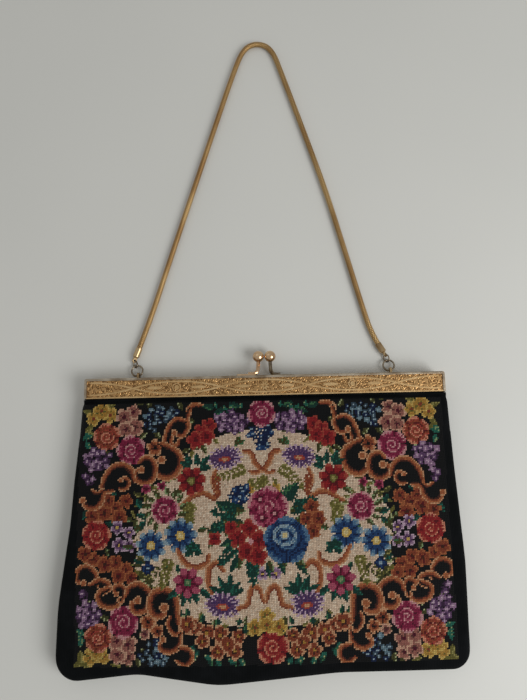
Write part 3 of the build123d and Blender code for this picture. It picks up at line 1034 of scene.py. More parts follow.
# %% Bottom
for x, hand in twin(0.6):
    for px, py, turn in (
        (34, -145, 330), (30, -147, 250), (24, -149, 280), (18, -149, 240), (12, -149, 270),
        (37, -142, 300), (11, -137, 120),
    ):
        leaf(x + hand * px, py, 6.5, facing(turn, hand), "pine", "green")
        leaf(x + hand * (px + 1.5), py - 0.5, 4.5, facing(turn - 40, hand), "teal", "pale_green")
    leaves(x, hand, [
        (45, -128, 100), (40, -128, 80), (33, -131, 100), (24, -133, 80), (14, -133, 110)
    ], 4.5, "pine", "green", 0.4)
    blossoms(x, hand, [
        (13.8, -138.4), (15.8, -145.6), (23.2, -137.4), (24.9, -145.8), (30.6, -136.2),
        (32.9, -140.4), (36.9, -133.2), (41, -132), (19.5, -142)
    ], RUSTY, 4.7)
rose(AXIS_X + 3.6, -144.2, 8.8, SCARLET, 300)
count_coloured("bottom")

# %% [markdown]
# ### Scrolls round the medallion
#
# Each scroll is shaded across, from black inside its turn to peach on its outer edge, which
# makes flat stitches look carved. The black hollows come first and the scrolls round them.

# %% Upper scrolls
for x, hand in twin():
    hollow(x, hand, 46, -29, 4.4)
    hollow(x, hand, 52.3, -47.6, 6.4)
    hollow(x, hand, 64.6, -51.2, 5.2)
    hollow(x, hand, 79.4, -55.6, 6.4)
    hollow(x, hand, 93.5, -66, 4.4)
    scroll(x, hand, [(50, -33.5), (50.6, -37), (47.2, -38.6), (45.6, -35)], 3.0, -1, False)
    scroll(x, hand, [(33.6, -16.6), (37.4, -16.4), (40.4, -18.6), (40.2, -22)], 3.8, 1, False)
    scroll(x, hand, [
        (40, -19), (41.6, -24.2), (41.2, -28.8), (44.4, -32.8), (48.6, -31.4)
    ], 3.6, -1)
    scroll(x, hand, [
        (42.6, -25.2), (46.6, -24), (50.4, -26.6), (52.8, -31.6), (54.6, -38)
    ], 3.6, 1, False)
    blossom(x + hand * 59.4, -39.4, 5.0, TAWNY, 20)
    scroll(x, hand, [
        (55.4, -37.4), (50.4, -39.8), (46.4, -43), (45.2, -47.8), (47.8, -53.2), (53.3, -55.4),
        (58.2, -52.6), (59, -48.2), (55.6, -46)
    ], 4.6, -1)
    scroll(x, hand, [
        (67.8, -47.4), (64.4, -44.7), (60.8, -46.4), (59.2, -50.8), (60.5, -55.8), (64.7, -58.2),
        (69.2, -56.2), (69.6, -52.6), (66.8, -51.2)
    ], 4.0, -1)
    scroll(x, hand, [
        (71, -57), (72.4, -52), (76.2, -48.8), (81.2, -49), (85.4, -52.6), (87.8, -57.6),
        (88.6, -63)
    ], 4.0, 1, False)
    scroll(x, hand, [(79, -61), (76, -61.4), (73.6, -58.6), (75.4, -55.6), (78.2, -56.6)], 2.8, 1)
    scroll(x, hand, [
        (82.4, -62), (87.2, -63), (88.6, -67.2), (91.8, -70.8), (96.4, -70.8), (99.2, -67)
    ], 3.8, -1)
    scroll(x, hand, [(88, -61.6), (91, -63.4), (94, -62)], 2.6, 1, False)
count_coloured("upper scrolls")

# %% Lower scrolls
for x, hand in twin():
    hollow(x, hand, 95.8, -107, 4.4)
    hollow(x, hand, 82.8, -117, 5.0)
    hollow(x, hand, 66.4, -118, 6.0)
    hollow(x, hand, 54.4, -121, 6.6)
    scroll(x, hand, [
        (90, -111.4), (91, -105.8), (95.6, -102), (100.4, -104), (100.8, -108.8), (97.6, -110.4)
    ], 3.6, 1)
    scroll(x, hand, [
        (94, -111.4), (89.5, -109.2), (85, -110.2), (83.6, -113), (86.4, -115.4)
    ], 3.6, -1, False)
    scroll(x, hand, [
        (84, -113), (88.4, -115.2), (89, -119), (85.2, -122.2), (80.4, -122), (77, -119.4)
    ], 3.8, 1)
    scroll(x, hand, [
        (76.2, -119), (74.8, -115.4), (77, -111.8), (80.6, -113), (79.6, -116)
    ], 3.0, 1)
    scroll(x, hand, [
        (74.4, -117), (72.2, -112.8), (67.7, -111.4), (62.6, -114.4), (61.2, -119.4), (63.8, -124),
        (68.6, -125), (70.8, -121.6), (68, -119.4)
    ], 4.2, -1)
    blossom(x + hand * 62.4, -130.6, 4.6, TAWNY, 10)
    blossom(x + hand * 57.4, -135, 3.8, TAWNY, 40)
    blossom(x + hand * 64, -136.6, 3.2, ["wine", "umber", "mauve", "shell"], 40)
    scroll(x, hand, [
        (46.4, -131.6), (47.2, -124.6), (48.2, -118.4), (53.4, -114.4), (59.2, -116.4),
        (61.2, -121.8), (58.6, -127), (54.2, -126.6), (53.8, -123.2)
    ], 4.8, 1)
    scroll(x, hand, [(50.4, -128), (51.4, -132), (48.6, -136.4), (45, -136)], 3.0, 1)
    scroll(x, hand, [
        (45, -137.4), (46.2, -142.8), (51, -145.4), (55.6, -143.4), (54.4, -139.4)
    ], 3.4, -1)
    scroll(x, hand, [
        (46.8, -150), (42.6, -152), (39.2, -149), (40.4, -145), (45, -143.6)
    ], 3.4, 1, False)
count_coloured("lower scrolls")

# %% [markdown]
# ### Flowers on the medallion
#
# A ring of single flowers, branches and sprays leaves room for the bouquet. The motifs are
# listed from the top down.

# %% Top of the medallion
for number, (x, hand) in enumerate(twin()):
    seed = 300 + 40 * number
    for px, py, turn in (
        (12, -18, 20), (20, -19, -20), (26, -18, 10), (16, -17.5, -60), (23, -20, 230)
    ):
        leaf(x + hand * px, py, 7.0, facing(turn, hand), "pine", "green")
        leaf(x + hand * (px - 1), py - 0.5, 3.8, facing(turn + 70, hand), "teal", "sage")
    leaves(x, hand, [(10, -30, 340), (12, -34, 300), (9, -36, 330)], 6.5, "moss", "green", 0.24)
    cluster(x + hand * 16.6, -26.2, 20, 12, LILAC, seed + 1, 1.9)
    blossoms(x, hand, [(29.3, -27.8), (33.6, -31.4), (36.4, -35.6), (30.6, -34)], BERRY, 5.0)
    leaf(x + hand * 33, -38, 6, facing(250, hand), "moss", "pale_green")
    leaf(x + hand * 40, -40, 5, facing(330, hand), "moss", "pale_green")
    aster(x + hand * 20.5, -45.6, 10.0, DUSK, ["coral", "peach"], facing(-8, hand))
    spray(x + hand * 8, -50.5, 17, facing(-30, hand), 6, "olive", "khaki", 4.6, -12)
    scroll(x, hand, [
        (25.6, -52.5), (27.4, -58), (24.6, -63.6), (26.6, -67), (32, -64.4), (38, -66), (45, -70.6)
    ], 3.2, 1, False, BRANCH)
    spray(x + hand * 25.6, -54, 11, facing(268, hand), 5, "rust", "orange", 3.6, 0)
    leaves(x, hand, [
        (35.5, -50, 85), (39, -50.5, 25), (35, -51.5, 170), (38.5, -49, 55), (34, -50, 130)
    ], 7.5, "pine", "teal")
    daisy(x + hand * 39.1, -57.8, 8.2, BERRY, ["olive", "khaki"], 7, 10)
    leaf(x + hand * 44, -63, 7, facing(-20, hand), "moss", "sage")
    blossoms(x, hand, [(55.3, -60.2), (64, -61.6)], ["wine", "wine", "magenta", "pink"], 2.9)
    blossom(x + hand * 6.8, -62.4, 3.2, PANSY, 30)
    spray(x + hand * 1.5, -64, 7, facing(75, hand), 3, "olive", "khaki", 3.6)
cluster(AXIS_X, -32.6, 15, 9, DEEP_BLUE, 21)
cluster(AXIS_X, -38.6, 8, 7, DEEP_BLUE, 22)
rose(AXIS_X + 0.3, -21.5, 8.0, CRIMSON, 120)
for x, hand in twin():
    leaves(x, hand, [(3, -56, 250), (6, -57, 300), (1, -57, 270)], 5.0, "olive", "khaki", 0.22)
    scroll(x, hand, [(9.6, -42.4), (6, -43.6), (4, -48.4), (0.6, -52.6)], 3.4, 1, False, BRANCH)
    scroll(x, hand, [(6.8, -53.4), (3.4, -54.2), (0, -52.6)], 2.4, 1, False, BRANCH)
count_coloured("top of the medallion")

# %% Middle of the medallion
for x, hand in twin():
    for px, py, turn in ((42, -70, 255), (39, -68, 280)):
        spray(x + hand * px, py, 10, facing(turn, hand), 5, "olive", "khaki", 4.4, 0)
    wreath(x + hand * 53.4, -73, 7.4, -70, 80, "moss", "sage", 6.0)
    wreath(x + hand * 53.4, -73, 6.6, 110, 170, "olive", "pale_green", 5.0)
    if hand < 0:
        wreath(x - 53.4, -73, 7.4, 110, 250, "moss", "sage", 6.0)
    rose(x + hand * 53.4, -73, 7.8, CRIMSON, 60 * hand)
    leaves(x, hand, [
        (52, -81, 250), (66, -84, 40), (70, -92, 0), (36, -84, 170), (54, -98, 260)
    ], 7, "moss", "green", 0.24)
    daisy(x + hand * 61, -91.6, 8.6, FORGET, ["yellow", "straw"], 9, 12)
    daisy(x + hand * 45, -86.6, 9.4, FORGET, ["yellow", "straw"], 9, 5)
    blossom(x + hand * 62.8, -103, 3.6, ["pale_blue", "navy", "blue", "navy"], 0, 4)
    for turn in (30, 80, 140, 200, 330):
        leaf(x + hand * 38, -94.4, 5.4, facing(turn, hand), "pine", "teal", 0.42)
    scroll(x, hand, [
        (29.6, -96.8), (30.6, -101), (36.8, -103.2), (43, -100.4), (46.6, -94)
    ], 3.3, -1, False, BRANCH)
    scroll(x, hand, [
        (21.6, -105), (25.2, -100.8), (29.4, -103.5), (30.3, -110), (28, -118)
    ], 3.3, 1, False, BRANCH)
    spray(x + hand * 50.6, -97, 15, facing(285, hand), 6, "olive", "khaki", 4.6, 0)
    spray(x + hand * 53.6, -103, 9, facing(330, hand), 3, "moss", "khaki", 4.0, 0)
count_coloured("middle of the medallion")

# %% Bottom of the medallion
for x, hand in twin():
    leaves(x, hand, [
        (38, -114, 255), (42, -115, 285), (35, -114, 215), (46, -114, 320), (40, -113, 270)
    ], 8.5, "pine", "teal", 0.26)
    leaf(x + hand * 46, -106, 5, facing(80, hand), "pine", "green")
    daisy(x + hand * 41, -110.8, 8.0, CLARET, ["green", "sage"], 7, 10)
    for turn, length in ((95, 12), (60, 12), (130, 10), (25, 12), (155, 10)):
        leaf(x + hand * 19, -118, length, facing(turn, hand), "pine", "teal", 0.2)
    aster(x + hand * 22.4, -122.6, 10.2, DUSK, ["coral", "peach"], facing(8, hand))
    blossom(x + hand * 3.6 + 2.6, -107, 3.6, ["yellow", "plum", "lilac", "mist"], 20)
    scroll(x, hand, [
        (0.8, -121), (2.6, -115), (6.4, -113.6), (8.2, -118), (9.6, -122.6), (14, -124.2)
    ], 3.2, 1, False, BRANCH)
for px, py in ((-5.6, -134), (7.2, -134), (0.8, -128.6), (0.8, -133)):
    blossom(AXIS_X + px, py, 4.6, PANSY, px * 9)
count_coloured("bottom of the medallion")

# %% [markdown]
# The bouquet in the middle is the one part that isn't the same on both sides.

# %% Bouquet
for px, py, turn, size in (
    (-12, -74, 165, 18), (-13, -80, 185, 19), (-12, -86, 205, 16), (12, -76, 20, 15),
    (14, -80, -5, 12), (5, -98, -70, 11), (-14, -96, 235, 13), (-8, -99, 265, 12),
    (14, -100, -50, 11), (0, -100, 270, 10),
):
    leaf(px, py, size, turn, "pine", "green", 0.2)
    leaf(px, py, size * 0.7, turn + 22, "moss", "sage", 0.2)
for px, py, turn in (
    (-16, -76, 165), (-18, -80, 190), (13, -73, 10), (-16, -92, 215), (-8, -98, 260)
):
    spray(px, py, 12, turn, 5, "pine", "teal", 5.0, 8)
cluster(-14.6, -65.4, 12, 11, DEEP_BLUE, 61)
leaf(8, -70, 14, 48, "pine", "green", 0.36)
for px, py in ((24, -73), (21.5, -79), (27.5, -79), (24.5, -85.5)):
    blossom(px, py, 4.6, AMBER, px * 10)
for px, py in ((-20, -83), (-29, -88.5)):
    leaf(px, py, 6, 130, "moss", "sage")
    leaf(px, py, 6, 230, "moss", "sage")
    blossom(px, py, 4.0, BERRY, 45, 4)
for px, py in ((-10.4, -83.6), (-16.4, -88.4), (-11.6, -95.6), (-5.4, -97.8), (-5, -89.6)):
    blossom(px, py, 5.4, BERRY, px * 12)
lay(polar(-9.6, -90.4)[0] < 1.4, "blush")
rose(0.3, -72.6, 11.4, CRIMSON, 10)
for px, py, turn in ((-4, -68, 0), (4, -76, 60), (-3, -78, 30)):
    blossom(px, py, 4.6, ["blush", "wine", "magenta", "pink"], turn)
rose(9.9, -90.2, 12.6, ["navy", "blue", "navy", "blue", "sky"], 160)
ring, _ = polar(9.0, -87.4, 0.0, 0.85)
lay_shades((ring < 6.6) & (ring > 4.6), 0.7 + 0.3 * np.cos(ring * 6), ["blue", "sky", "pale_blue"])
lay(ring < 2.6, "pale_blue")
lay(ring < 1.6, "straw")
print("threads used", len(set(pattern.ravel().tolist())))

# %% [markdown]
# The needlework has a straight edge. Outside it the front is the same black ribbed cloth
# as the back, so the pattern is cut off there.

# %% Edge of the needlework
WORKED_X = (-104.4, 99.4)
WORKED_Y = (-152.8, -14.6)
worked = (
    (stitch_x > WORKED_X[0]) & (stitch_x < WORKED_X[1])
    & (stitch_y > WORKED_Y[0]) & (stitch_y < WORKED_Y[1])
)
pattern[~worked] = CODE["black"]

# %% [markdown]
# ## Cloth finishes
#
# Petit point is worked in tent stitch: each stitch is a short slanting thread over one
# crossing of the canvas. The colour comes from an attribute that holds one thread for each
# square of the grid, and the relief from the grid's own UV map, which counts stitches.

# %% Needlework and black cloth
def needlework():
    finish = Finish("needlework")
    thread = finish.node("ShaderNodeAttribute", {"attribute_name": "thread"}, output="Color")
    uv = finish.node("ShaderNodeUVMap")
    u, v, _ = finish.split(uv)
    across = u.fraction()
    up = v.fraction()
    aside = (across - up) * 0.7071
    along = (across + up) * 0.5
    round_thread = (1 - (aside * 2.3) ** 2).clamp()
    ends = 1 - ((along * 2 - 1).size() ** 3) * 0.7
    height = round_thread * ends
    where = finish.position()
    fuzz = finish.noise(where, 1800.0, 3.0, 0.7)
    # Painted shade: the thread's colour is multiplied by a grey that is darker at the sides and
    # ends of each stitch, between its neighbours, with a little random fuzz.
    shade = height * 0.42 + 0.27 + fuzz * 0.12
    grey = finish.node("ShaderNodeCombineColor", None, {0: shade, 1: shade, 2: shade})
    shaded = finish.mix(1.0, thread, grey, "MULTIPLY")
    finish.set(Base_Color=shaded, Roughness=0.85, Sheen_Weight=0.04, Specular_IOR_Level=0.15)
    finish.bump(height + fuzz * 0.25, 0.00035, 0.8)
    return finish.material


def black_cloth():
    finish = Finish("black_cloth")
    where = finish.position()
    x, y, _ = finish.split(where)
    ribs = (x * (2 * math.pi / 0.00085)).sine() * 0.5 + 0.5
    weft = (y * (2 * math.pi / 0.00045)).sine() * 0.5 + 0.5
    dust = finish.noise(where, 70.0, 4.0, 0.6)
    colour = finish.mix(dust.step(0.35, 0.75), rgb(5, 7, 8), rgb(13, 15, 17))
    finish.set(Base_Color=colour, Roughness=0.92, Specular_IOR_Level=0.1)
    finish.bump(ribs * 0.8 + weft * 0.3 + dust * 0.6, 0.00016, 0.7)
    return finish.material


NEEDLEWORK = needlework()
BLACK = black_cloth()

# %% [markdown]
# ## The front of the pouch
#
# The threads could be a picture laid on the cloth, but it would blur between the stitches.
# Each face takes its thread from `pattern` instead, and the colour is stored in the mesh, so
# it is sharp and moves with the cloth. Each stitch is dyed a little lighter or darker.

# %% Threads of the stitches
ON_TOP_Z = 8.5


def colour_stitches(mesh):
    """Thread colour for each face, and the black cloth outside the needlework."""
    palette = np.array([rgb(*THREADS[name])[:3] for name in NAMES])
    jitter = np.random.default_rng(5).normal(1.0, 0.085, pattern.shape)
    thread = mesh.attributes.new("thread", "FLOAT_COLOR", "CORNER")
    uv = mesh.uv_layers.active.data
    colours = np.ones((len(mesh.loops), 4))
    for face in mesh.polygons:
        loops = list(face.loop_indices)
        u = sum(uv[i].uv[0] for i in loops) / len(loops)
        v = sum(uv[i].uv[1] for i in loops) / len(loops)
        column = min(max(int(u), 0), ACROSS - 1)
        row = min(max(int(v), 0), DOWN - 1)
        colours[loops, :3] = palette[pattern[row, column]] * jitter[row, column]
        on_top = face.normal.z > 0.1 and face.center.z > ON_TOP_Z * MM
        face.material_index = 0 if worked[row, column] and on_top else 1
    thread.data.foreach_set("color", colours.ravel())


# %% Front cloth with its stitches
CLOTH_T = 1.0

front = cloth_wall("pouch_front", ACROSS, DOWN, CLOTH_EDGE, 0.0, front_height, CLOTH_T, 10.3)
front.data.materials.clear()
front.data.materials.append(NEEDLEWORK)
front.data.materials.append(BLACK)
colour_stitches(front.data)
smooth(front)
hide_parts("front_panel")
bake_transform(front)
print("front cloth", len(front.data.polygons), "faces")

# %% [markdown]
# ## The back and the lining
#
# The back is plain black cloth that rests on the table. The lining is guessed: plain ivory
# satin, as such bags have.

# %% Lining satin
def satin():
    finish = Finish("lining_satin")
    where = finish.position()
    _, y, _ = finish.split(where)
    crease_relief_and_shade = finish.noise(where, 45.0, 4.0, 0.6)
    weave = (y * (2 * math.pi / 0.0004)).sine() * 0.5 + 0.5
    # The colour follows the crease relief: darker in its hollows, as painted shade.
    colour = finish.mix(crease_relief_and_shade, rgb(206, 196, 170), rgb(226, 218, 196))
    finish.set(Base_Color=colour, Roughness=0.42, Sheen_Weight=0.2)
    finish.bump(crease_relief_and_shade * 1.0 + weave * 0.06, 0.0006, 0.5)
    return finish.material


# %% Back and lining
SATIN = satin()
SATIN_T = 0.35
LINING_IN = 1.4
LINING_WAVES = 0.6

back = cloth_wall("pouch_back", 96, 66, CLOTH_EDGE, 0.0, back_height, CLOTH_T, 1.6)
finish_piece(back, "pouch_back", BLACK, "back_half")
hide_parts("back_panel")
front_satin = cloth_wall("lining_front", 60, 44, LINING_EDGE, LINING_IN, front_height,
                         SATIN_T, 8.9, LINING_WAVES)
finish_piece(front_satin, "lining_front", SATIN, None)
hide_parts("front_lining")
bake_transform(front_satin)
back_satin = cloth_wall("lining_back", 60, 44, LINING_EDGE, LINING_IN, back_height,
                        SATIN_T, 3.0, LINING_WAVES)
finish_piece(back_satin, "lining_back", SATIN, "back_half")
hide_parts("back_lining")

# %% [markdown]
# ## Piping
#
# A covered cord closes the seam. It is a curve with a round bevel, turned into a mesh, which
# keeps an even thickness round every corner of the outline.

# %% Seam piping
PIPING_R = 0.7
PIPING_OUT = 0.72


def tube(name, points, radius, cyclic=False, sides=3):
    """Round wire through points, given in the part's frame."""
    clear_selection()
    bpy.ops.curve.primitive_bezier_curve_add()
    wire = bpy.context.object
    wire.name = name
    wire.data.dimensions = "3D"
    wire.data.splines.clear()
    line = wire.data.splines.new("POLY")
    line.points.add(len(points) - 1)
    for spot, point in zip(line.points, points):
        spot.co = (*point, 1.0)
    line.use_cyclic_u = cyclic
    wire.data.bevel_depth = radius
    wire.data.bevel_resolution = sides
    wire.data.use_fill_caps = True
    bpy.ops.object.convert(target="MESH")
    return bpy.context.object


seam = rounded_outline(CLOTH_CORNERS, PIPING_OUT)
first = nearest_index(seam, -106.1, -34.4)
last = nearest_index(seam, 105.2, -34.4)
run = [seam[(first + step) % len(seam)] for step in range((last - first) % len(seam) + 1)]
piping = tube("piping", [place(x, y, SEAM_Z) for x, y in run], PIPING_R * MM)
finish_piece(piping, "piping", BLACK, "back_half")
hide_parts("seam_piping")

# %% [markdown]
# ## Twine in the channels
#
# A twisted twine wedges the cloth into each half of the frame. The slanting strands are
# in the bump of its finish, since it is seen only at the channels' ends, and its colour is
# painted darker in the grooves between them as painted shade.

# %% Twine
TWINE_R = 0.82


def twine():
    finish = Finish("twine")
    x, y, z = finish.split(finish.position())
    strand_relief_and_shade = ((x * 1.0 + y * 0.8 + z * 0.8) * (2 * math.pi / 0.0012)).sine() * 0.5 + 0.5
    # Painted shade: the colour is darker in the grooves between the strands.
    colour = finish.mix(strand_relief_and_shade, rgb(104, 86, 56), rgb(168, 148, 112))
    finish.set(Base_Color=colour, Roughness=0.9)
    finish.bump(strand_relief_and_shade, 0.0003, 0.8)
    return finish.material


TWINE = twine()
for half in ("front", "back"):
    low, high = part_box(half + "_channel_cord")
    y = (low[1] + high[1]) / 2
    z = (low[2] + high[2]) / 2
    reach = np.linspace(low[0] + 0.0002, high[0] - 0.0002, 240)
    sway = [(x, y + 0.00005 * math.sin(x * 900), z) for x in reach]
    cord = tube(half + "_twine", sway, TWINE_R * MM)
    finish_piece(cord, half + "_twine", TWINE, half + "_half")
    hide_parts(half + "_channel_cord")

# %% [markdown]
# ## Jump rings and links
#
# The CAD model has these wires eight-sided to keep it light. Here they are round. Their
# places follow from the same directions as in the CAD model.

# %% Round wires of the handle
CHAIN_Z = 1.7
ROUTE = [
    (-68.2, 33.3), (-56.6, 69.9), (-42.9, 112.4), (-28.6, 156.4), (-16.2, 194.3),
    (-9.1, 212.9), (0.2, 216.8), (9.4, 212.5), (15.4, 194.5), (27.2, 157.5), (40.2, 116.0),
    (50.8, 75.0), (59.0, 43.0), (64.5, 23.1),
]
LUG = (73.8, 1.9, 3.2)
RING_R = 3.25
RING_WIRE_R = 0.5
LINK_HALF_W = 1.6
LINK_LEN = 4.4
LINK_WIRE_R = 0.4
LINK_TURN = math.radians(50)
LINK_OVERLAP = 1.02
CAP_TO_SEAT = 2.6


def fittings(side, ring_way, link_way, target):
    """Ring and link of one side, and the chain's seat in its cap."""
    name = "left" if side < 0 else "right"
    eye = Vector((side * LUG[0], LUG[1], LUG[2]))
    ring_way = Vector(ring_way).normalized()
    link_way = Vector(link_way).normalized()
    across = (Vector((1, 0, 0)) - ring_way * ring_way.x).normalized()
    middle = eye + ring_way * RING_R
    loop = []
    for step in range(64):
        angle = 2 * math.pi * step / 64
        spoke = (ring_way * math.cos(angle) + across * math.sin(angle)) * RING_R
        loop.append(place(*(middle + spoke)))
    ring = tube(name + "_ring", loop, RING_WIRE_R * MM, True, 5)
    finish_piece(ring, name + "_ring", worn_wire, "handle")
    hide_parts(name + "_jump_ring")

    near = eye + ring_way * (2 * RING_R) - link_way * LINK_OVERLAP
    far = near + link_way * LINK_LEN
    up = (Vector((0, 0, 1)) - link_way * link_way.z).normalized()
    flat = link_way.cross(up)
    wide = up * math.cos(LINK_TURN) + flat * math.sin(LINK_TURN)
    loop = []
    for centre, start in ((far, -90), (near, 90)):
        for step in range(17):
            angle = math.radians(start + 180 * step / 16)
            bend = (link_way * math.cos(angle) + wide * math.sin(angle)) * LINK_HALF_W
            inward = link_way * (-LINK_HALF_W if start < 0 else LINK_HALF_W)
            loop.append(place(*(centre + bend + inward)))
    link = tube(name + "_link", loop, LINK_WIRE_R * MM, True, 5)
    finish_piece(link, name + "_link", worn_wire, "handle")
    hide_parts(name + "_chain_link")
    chain_way = (target - far).normalized()
    return ring, link, far + chain_way * CAP_TO_SEAT


left_ring, left_link, left_seat = fittings(
    -1, (-0.3, 0.93, -0.2), (-0.25, 0.96, 0.07), Vector((*ROUTE[0], CHAIN_Z)))
right_ring, right_link, right_seat = fittings(
    1, (-0.2, 0.95, -0.2), (-0.25, 0.96, 0.07), Vector((*ROUTE[-1], CHAIN_Z)))

# %% [markdown]
# ## Snake chain
#
# A snake chain is made of many small cups that sit in each other, so its surface shows rows
# of tiny scales, each row turned half a scale from the last. The route is a smooth curve
# with the CAD model's corners as its control points, and the scales are set round it.

# %% Route of the chain
guide_data = bpy.data.curves.new("chain_route", "CURVE")
guide_data.dimensions = "3D"
guide_data.resolution_u = 24
line = guide_data.splines.new("NURBS")
corners = [left_seat] + [Vector((x, y, CHAIN_Z)) for x, y in ROUTE] + [right_seat]
line.points.add(len(corners) - 1)
for spot, corner in zip(line.points, corners):
    spot.co = (*place(*corner), 1.0)
line.order_u = 3
line.use_endpoint_u = True
guide = bpy.data.objects.new("chain_route", guide_data)
bpy.context.collection.objects.link(guide)
bpy.context.view_layer.update()
read = bpy.data.meshes.new_from_object(guide)
route = np.array([vertex.co for vertex in read.vertices])
bpy.data.objects.remove(guide)
gaps = np.linalg.norm(np.diff(route, axis=0), axis=1)
along = np.concatenate([[0], np.cumsum(gaps)])
print("chain route", round(along[-1] * 1000, 1), "mm in", len(route), "points")

# %% [markdown]
# A curve's own bevel would give a smooth tube. Rows of points are set round the route instead,
# and the scales push some of them out. The height of the scales is kept as an attribute,
# because the grooves between them are painted darker, as painted shade.

# %% Scales round the route
CHAIN_R = 1.65 * MM
PITCH = 1.05 * MM
SCALES = 7
ROWS_PER_PITCH = 4
AROUND = 28

rings = int(along[-1] / PITCH) * ROWS_PER_PITCH
spaced = np.linspace(0, along[-1], rings + 1)
spine = np.stack([np.interp(spaced, along, route[:, axis]) for axis in range(3)], axis=1)
ways = np.gradient(spine, axis=0)
ways = ways / np.linalg.norm(ways, axis=1)[:, None]
upright = np.tile(np.array([0.0, 0.0, 1.0]), (len(spine), 1))
upright -= ways * (upright * ways).sum(axis=1)[:, None]
upright /= np.linalg.norm(upright, axis=1)[:, None]
sideways = np.cross(ways, upright)
turns = np.arange(AROUND) / AROUND * 2 * math.pi


def scale_height(index):
    """How far the scales stand out all round one row of points, from 0 to 1."""
    phase = (index % ROWS_PER_PITCH) / ROWS_PER_PITCH
    lap = index // ROWS_PER_PITCH
    bulge = math.sin(math.pi * phase) ** 0.7 if phase else 0.0
    return bulge * np.abs(np.cos((turns * SCALES + math.pi * (lap % 2)) / 2)) ** 0.6


points = []
for index in range(rings + 1):
    radius = CHAIN_R * (0.84 + 0.16 * scale_height(index))
    ring = spine[index] + radius[:, None] * (
        np.cos(turns)[:, None] * upright[index] + np.sin(turns)[:, None] * sideways[index])
    points.append(ring)
points = np.concatenate(points)
faces = []
for index in range(rings):
    for step in range(AROUND):
        after = (step + 1) % AROUND
        faces.append((index * AROUND + step, index * AROUND + after,
                      (index + 1) * AROUND + after, (index + 1) * AROUND + step))
faces.append(tuple(range(AROUND))[::-1])
faces.append(tuple(rings * AROUND + step for step in range(AROUND)))
data = bpy.data.meshes.new("chain")
data.from_pydata(points.tolist(), [], faces)
relief = data.attributes.new("cup", "FLOAT", "POINT")
heights = np.concatenate([scale_height(index) for index in range(rings + 1)])
relief.data.foreach_set("value", heights)
chain = bpy.data.objects.new("chain", data)
bpy.context.collection.objects.link(chain)


def chain_gilt():
    finish = Finish("chain_gilt")
    cup = finish.node("ShaderNodeAttribute", {"attribute_name": "cup"}, output="Fac")
    clouds = finish.noise(finish.position(), 40.0, 3.0)
    top = finish.mix(clouds.step(0.3, 0.7), rgb(226, 190, 132), rgb(182, 142, 92))
    # Painted shade: the grooves between the scales are a dark brown, the tops of the scales gilt.
    colour = finish.mix(cup.step(0.0, 0.6), rgb(84, 60, 36), top)
    finish.set(Base_Color=colour, Metallic=1.0, Roughness=(0.5 - cup * 0.2 + clouds * 0.1))
    return finish.material


finish_piece(chain, "chain", chain_gilt(), "handle")
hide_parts("snake_chain")

# %% [markdown]
# ## Finer relief on the band
#
# The CAD model has the medallions and the ribbons. Between them the stamping has small
# curled leaves. Each is a wire that winds in on itself, half sunk in the ground, and beyond
# the curls stand fans of three drop-shaped leaves.

# %% Curled leaves
BAND_Y = -5.85
CURL_Z = 11.52
CURL_WIRE_R = 0.27
DROP_Z = 11.55
DROP_SIZE = (1.7, 0.7, 0.55)
RIBBON_X = (-75, -25, 25, 75)


def curled_leaf(x, y, hand, flip, size):
    """Points of one curl on the band's ground."""
    points = []
    for step in range(26):
        share = step / 25
        angle = math.radians(200 - 470 * share)
        reach = size * (1 - 0.8 * share)
        px = x + hand * reach * math.cos(angle)
        py = y + flip * reach * math.sin(angle)
        points.append(place(px, py, CURL_Z))
    return points


curls = []
for middle in RIBBON_X:
    for hand in (-1, 1):
        for flip in (-1, 1):
            curls.append((middle + hand * 8.5, BAND_Y + flip * 2.9, hand, flip, 1.5))
            curls.append((middle + hand * 3.2, BAND_Y + flip * 3.0, -hand, flip, 1.35))
for end in (-1, 1):
    for flip in (-1, 1):
        curls.append((end * 94.5, BAND_Y + flip * 1.7, end, flip, 1.5))
        curls.append((end * 88.0, BAND_Y + flip * 1.2, -end, flip, 1.2))
wires = [tube("curl", curled_leaf(*curl_at), CURL_WIRE_R * MM, False, 2) for curl_at in curls]

drops = []
for middle in RIBBON_X:
    for hand in (-1, 1):
        for flip in (-1, 1):
            for turn, reach in ((20, 1.6), (55, 1.9), (90, 1.6)):
                angle = math.radians(turn)
                clear_selection()
                bpy.ops.mesh.primitive_uv_sphere_add(segments=10, ring_count=6, radius=0.5)
                drop = bpy.context.object
                x = middle + hand * (13.8 + reach * math.cos(angle))
                y = BAND_Y + flip * (1.9 + reach * math.sin(angle) * 0.8)
                drop.data.transform(Matrix.Diagonal((*(v * MM for v in DROP_SIZE), 1.0)))
                drop.data.transform(Matrix.Rotation(angle * hand * flip, 4, "Z"))
                drop.data.transform(Matrix.Translation(place(x, y, DROP_Z)))
                drops.append(drop)
clear_selection()
for piece in wires + drops:
    piece.select_set(True)
bpy.context.view_layer.objects.active = wires[0]
bpy.ops.object.join()
band_relief = bpy.context.object
finish_piece(band_relief, "band_relief", relief_gilt, "front_half")

# %% [markdown]
# ## Table, light and camera
#
# The table is pale and plain. The light is a wide soft lamp over the lower right, a weak one
# over the upper left and an even sky, so that colours come out about as they are written.

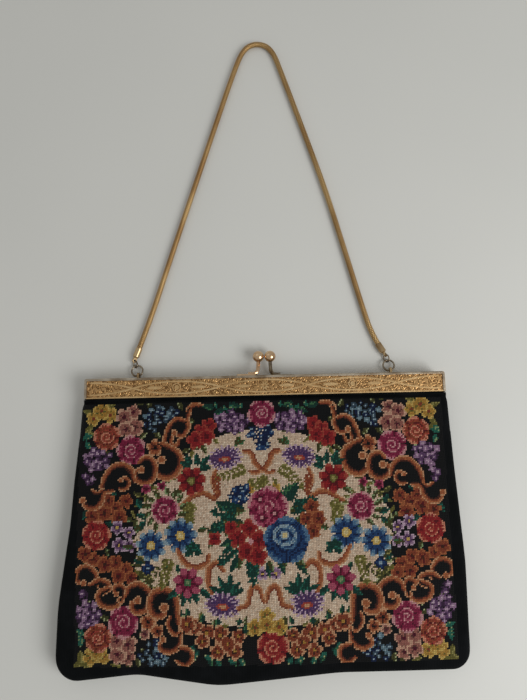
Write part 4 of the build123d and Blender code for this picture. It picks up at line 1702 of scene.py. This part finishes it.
# %% Table
clear_selection()
bpy.ops.mesh.primitive_plane_add(size=6.0, location=(0, 0, -0.0002))
table = bpy.context.object
table.name = "table"
paint = Finish("table_paint")
cloud = paint.noise(paint.position(), 6.0, 2.0)
paint.set(Base_Color=paint.mix(cloud, rgb(204, 205, 200), rgb(213, 213, 208)), Roughness=0.55)
table.data.materials.append(paint.material)

# %% Light
world = bpy.data.worlds.new("room")
bpy.context.scene.world = world
world.use_nodes = True
sky = world.node_tree.nodes["Background"]
sky.inputs["Color"].default_value = (1.0, 0.99, 0.97, 1.0)
sky.inputs["Strength"].default_value = 0.42


def lamp(name, where, aim, size, power):
    light = bpy.data.lights.new(name, "AREA")
    light.size = size
    light.energy = power
    holder = bpy.data.objects.new(name, light)
    bpy.context.collection.objects.link(holder)
    holder.location = where
    holder.rotation_euler = (Vector(aim) - Vector(where)).to_track_quat("-Z", "Y").to_euler()
    return holder


lamp("window", (0.62, -0.25, 0.62), (0.1, 0, 0), 0.5, 5.1)
lamp("room_fill", (-0.5, 0.6, 0.8), (0, 0, 0), 0.7, 0.3)

# %% [markdown]
# The camera hangs over the bag and looks down on it, with a slight lean towards the handle
# and a slight roll, so the three directions of its view are worked out from two small
# angles. The lens follows from a focal length in pixels and the height of the picture.

# %% Camera
PICTURE_H = 700.0
FOCAL_PIXELS = 526.0
SENSOR_H = 36.0
CAMERA_AT = (-0.25, -28.9, 310.4)
LEAN = math.radians(8.25)
ROLL = math.radians(-1.273)
sight = Vector((0, math.sin(LEAN), -math.cos(LEAN)))
level = Vector((1, 0, 0))
rise = Vector((0, math.cos(LEAN), math.sin(LEAN)))
right = level * math.cos(ROLL) + rise * math.sin(ROLL)
up = rise * math.cos(ROLL) - level * math.sin(ROLL)
camera_data = bpy.data.cameras.new("camera")
camera_data.sensor_fit = "VERTICAL"
camera_data.sensor_height = SENSOR_H
camera_data.lens = FOCAL_PIXELS / PICTURE_H * SENSOR_H
camera = bpy.data.objects.new("camera", camera_data)
bpy.context.collection.objects.link(camera)
turned = Matrix((right, up, -sight)).transposed().to_4x4()
camera.matrix_world = Matrix.Translation(place(*CAMERA_AT)) @ turned
bpy.context.scene.camera = camera
bpy.context.scene.view_settings.view_transform = "Standard"
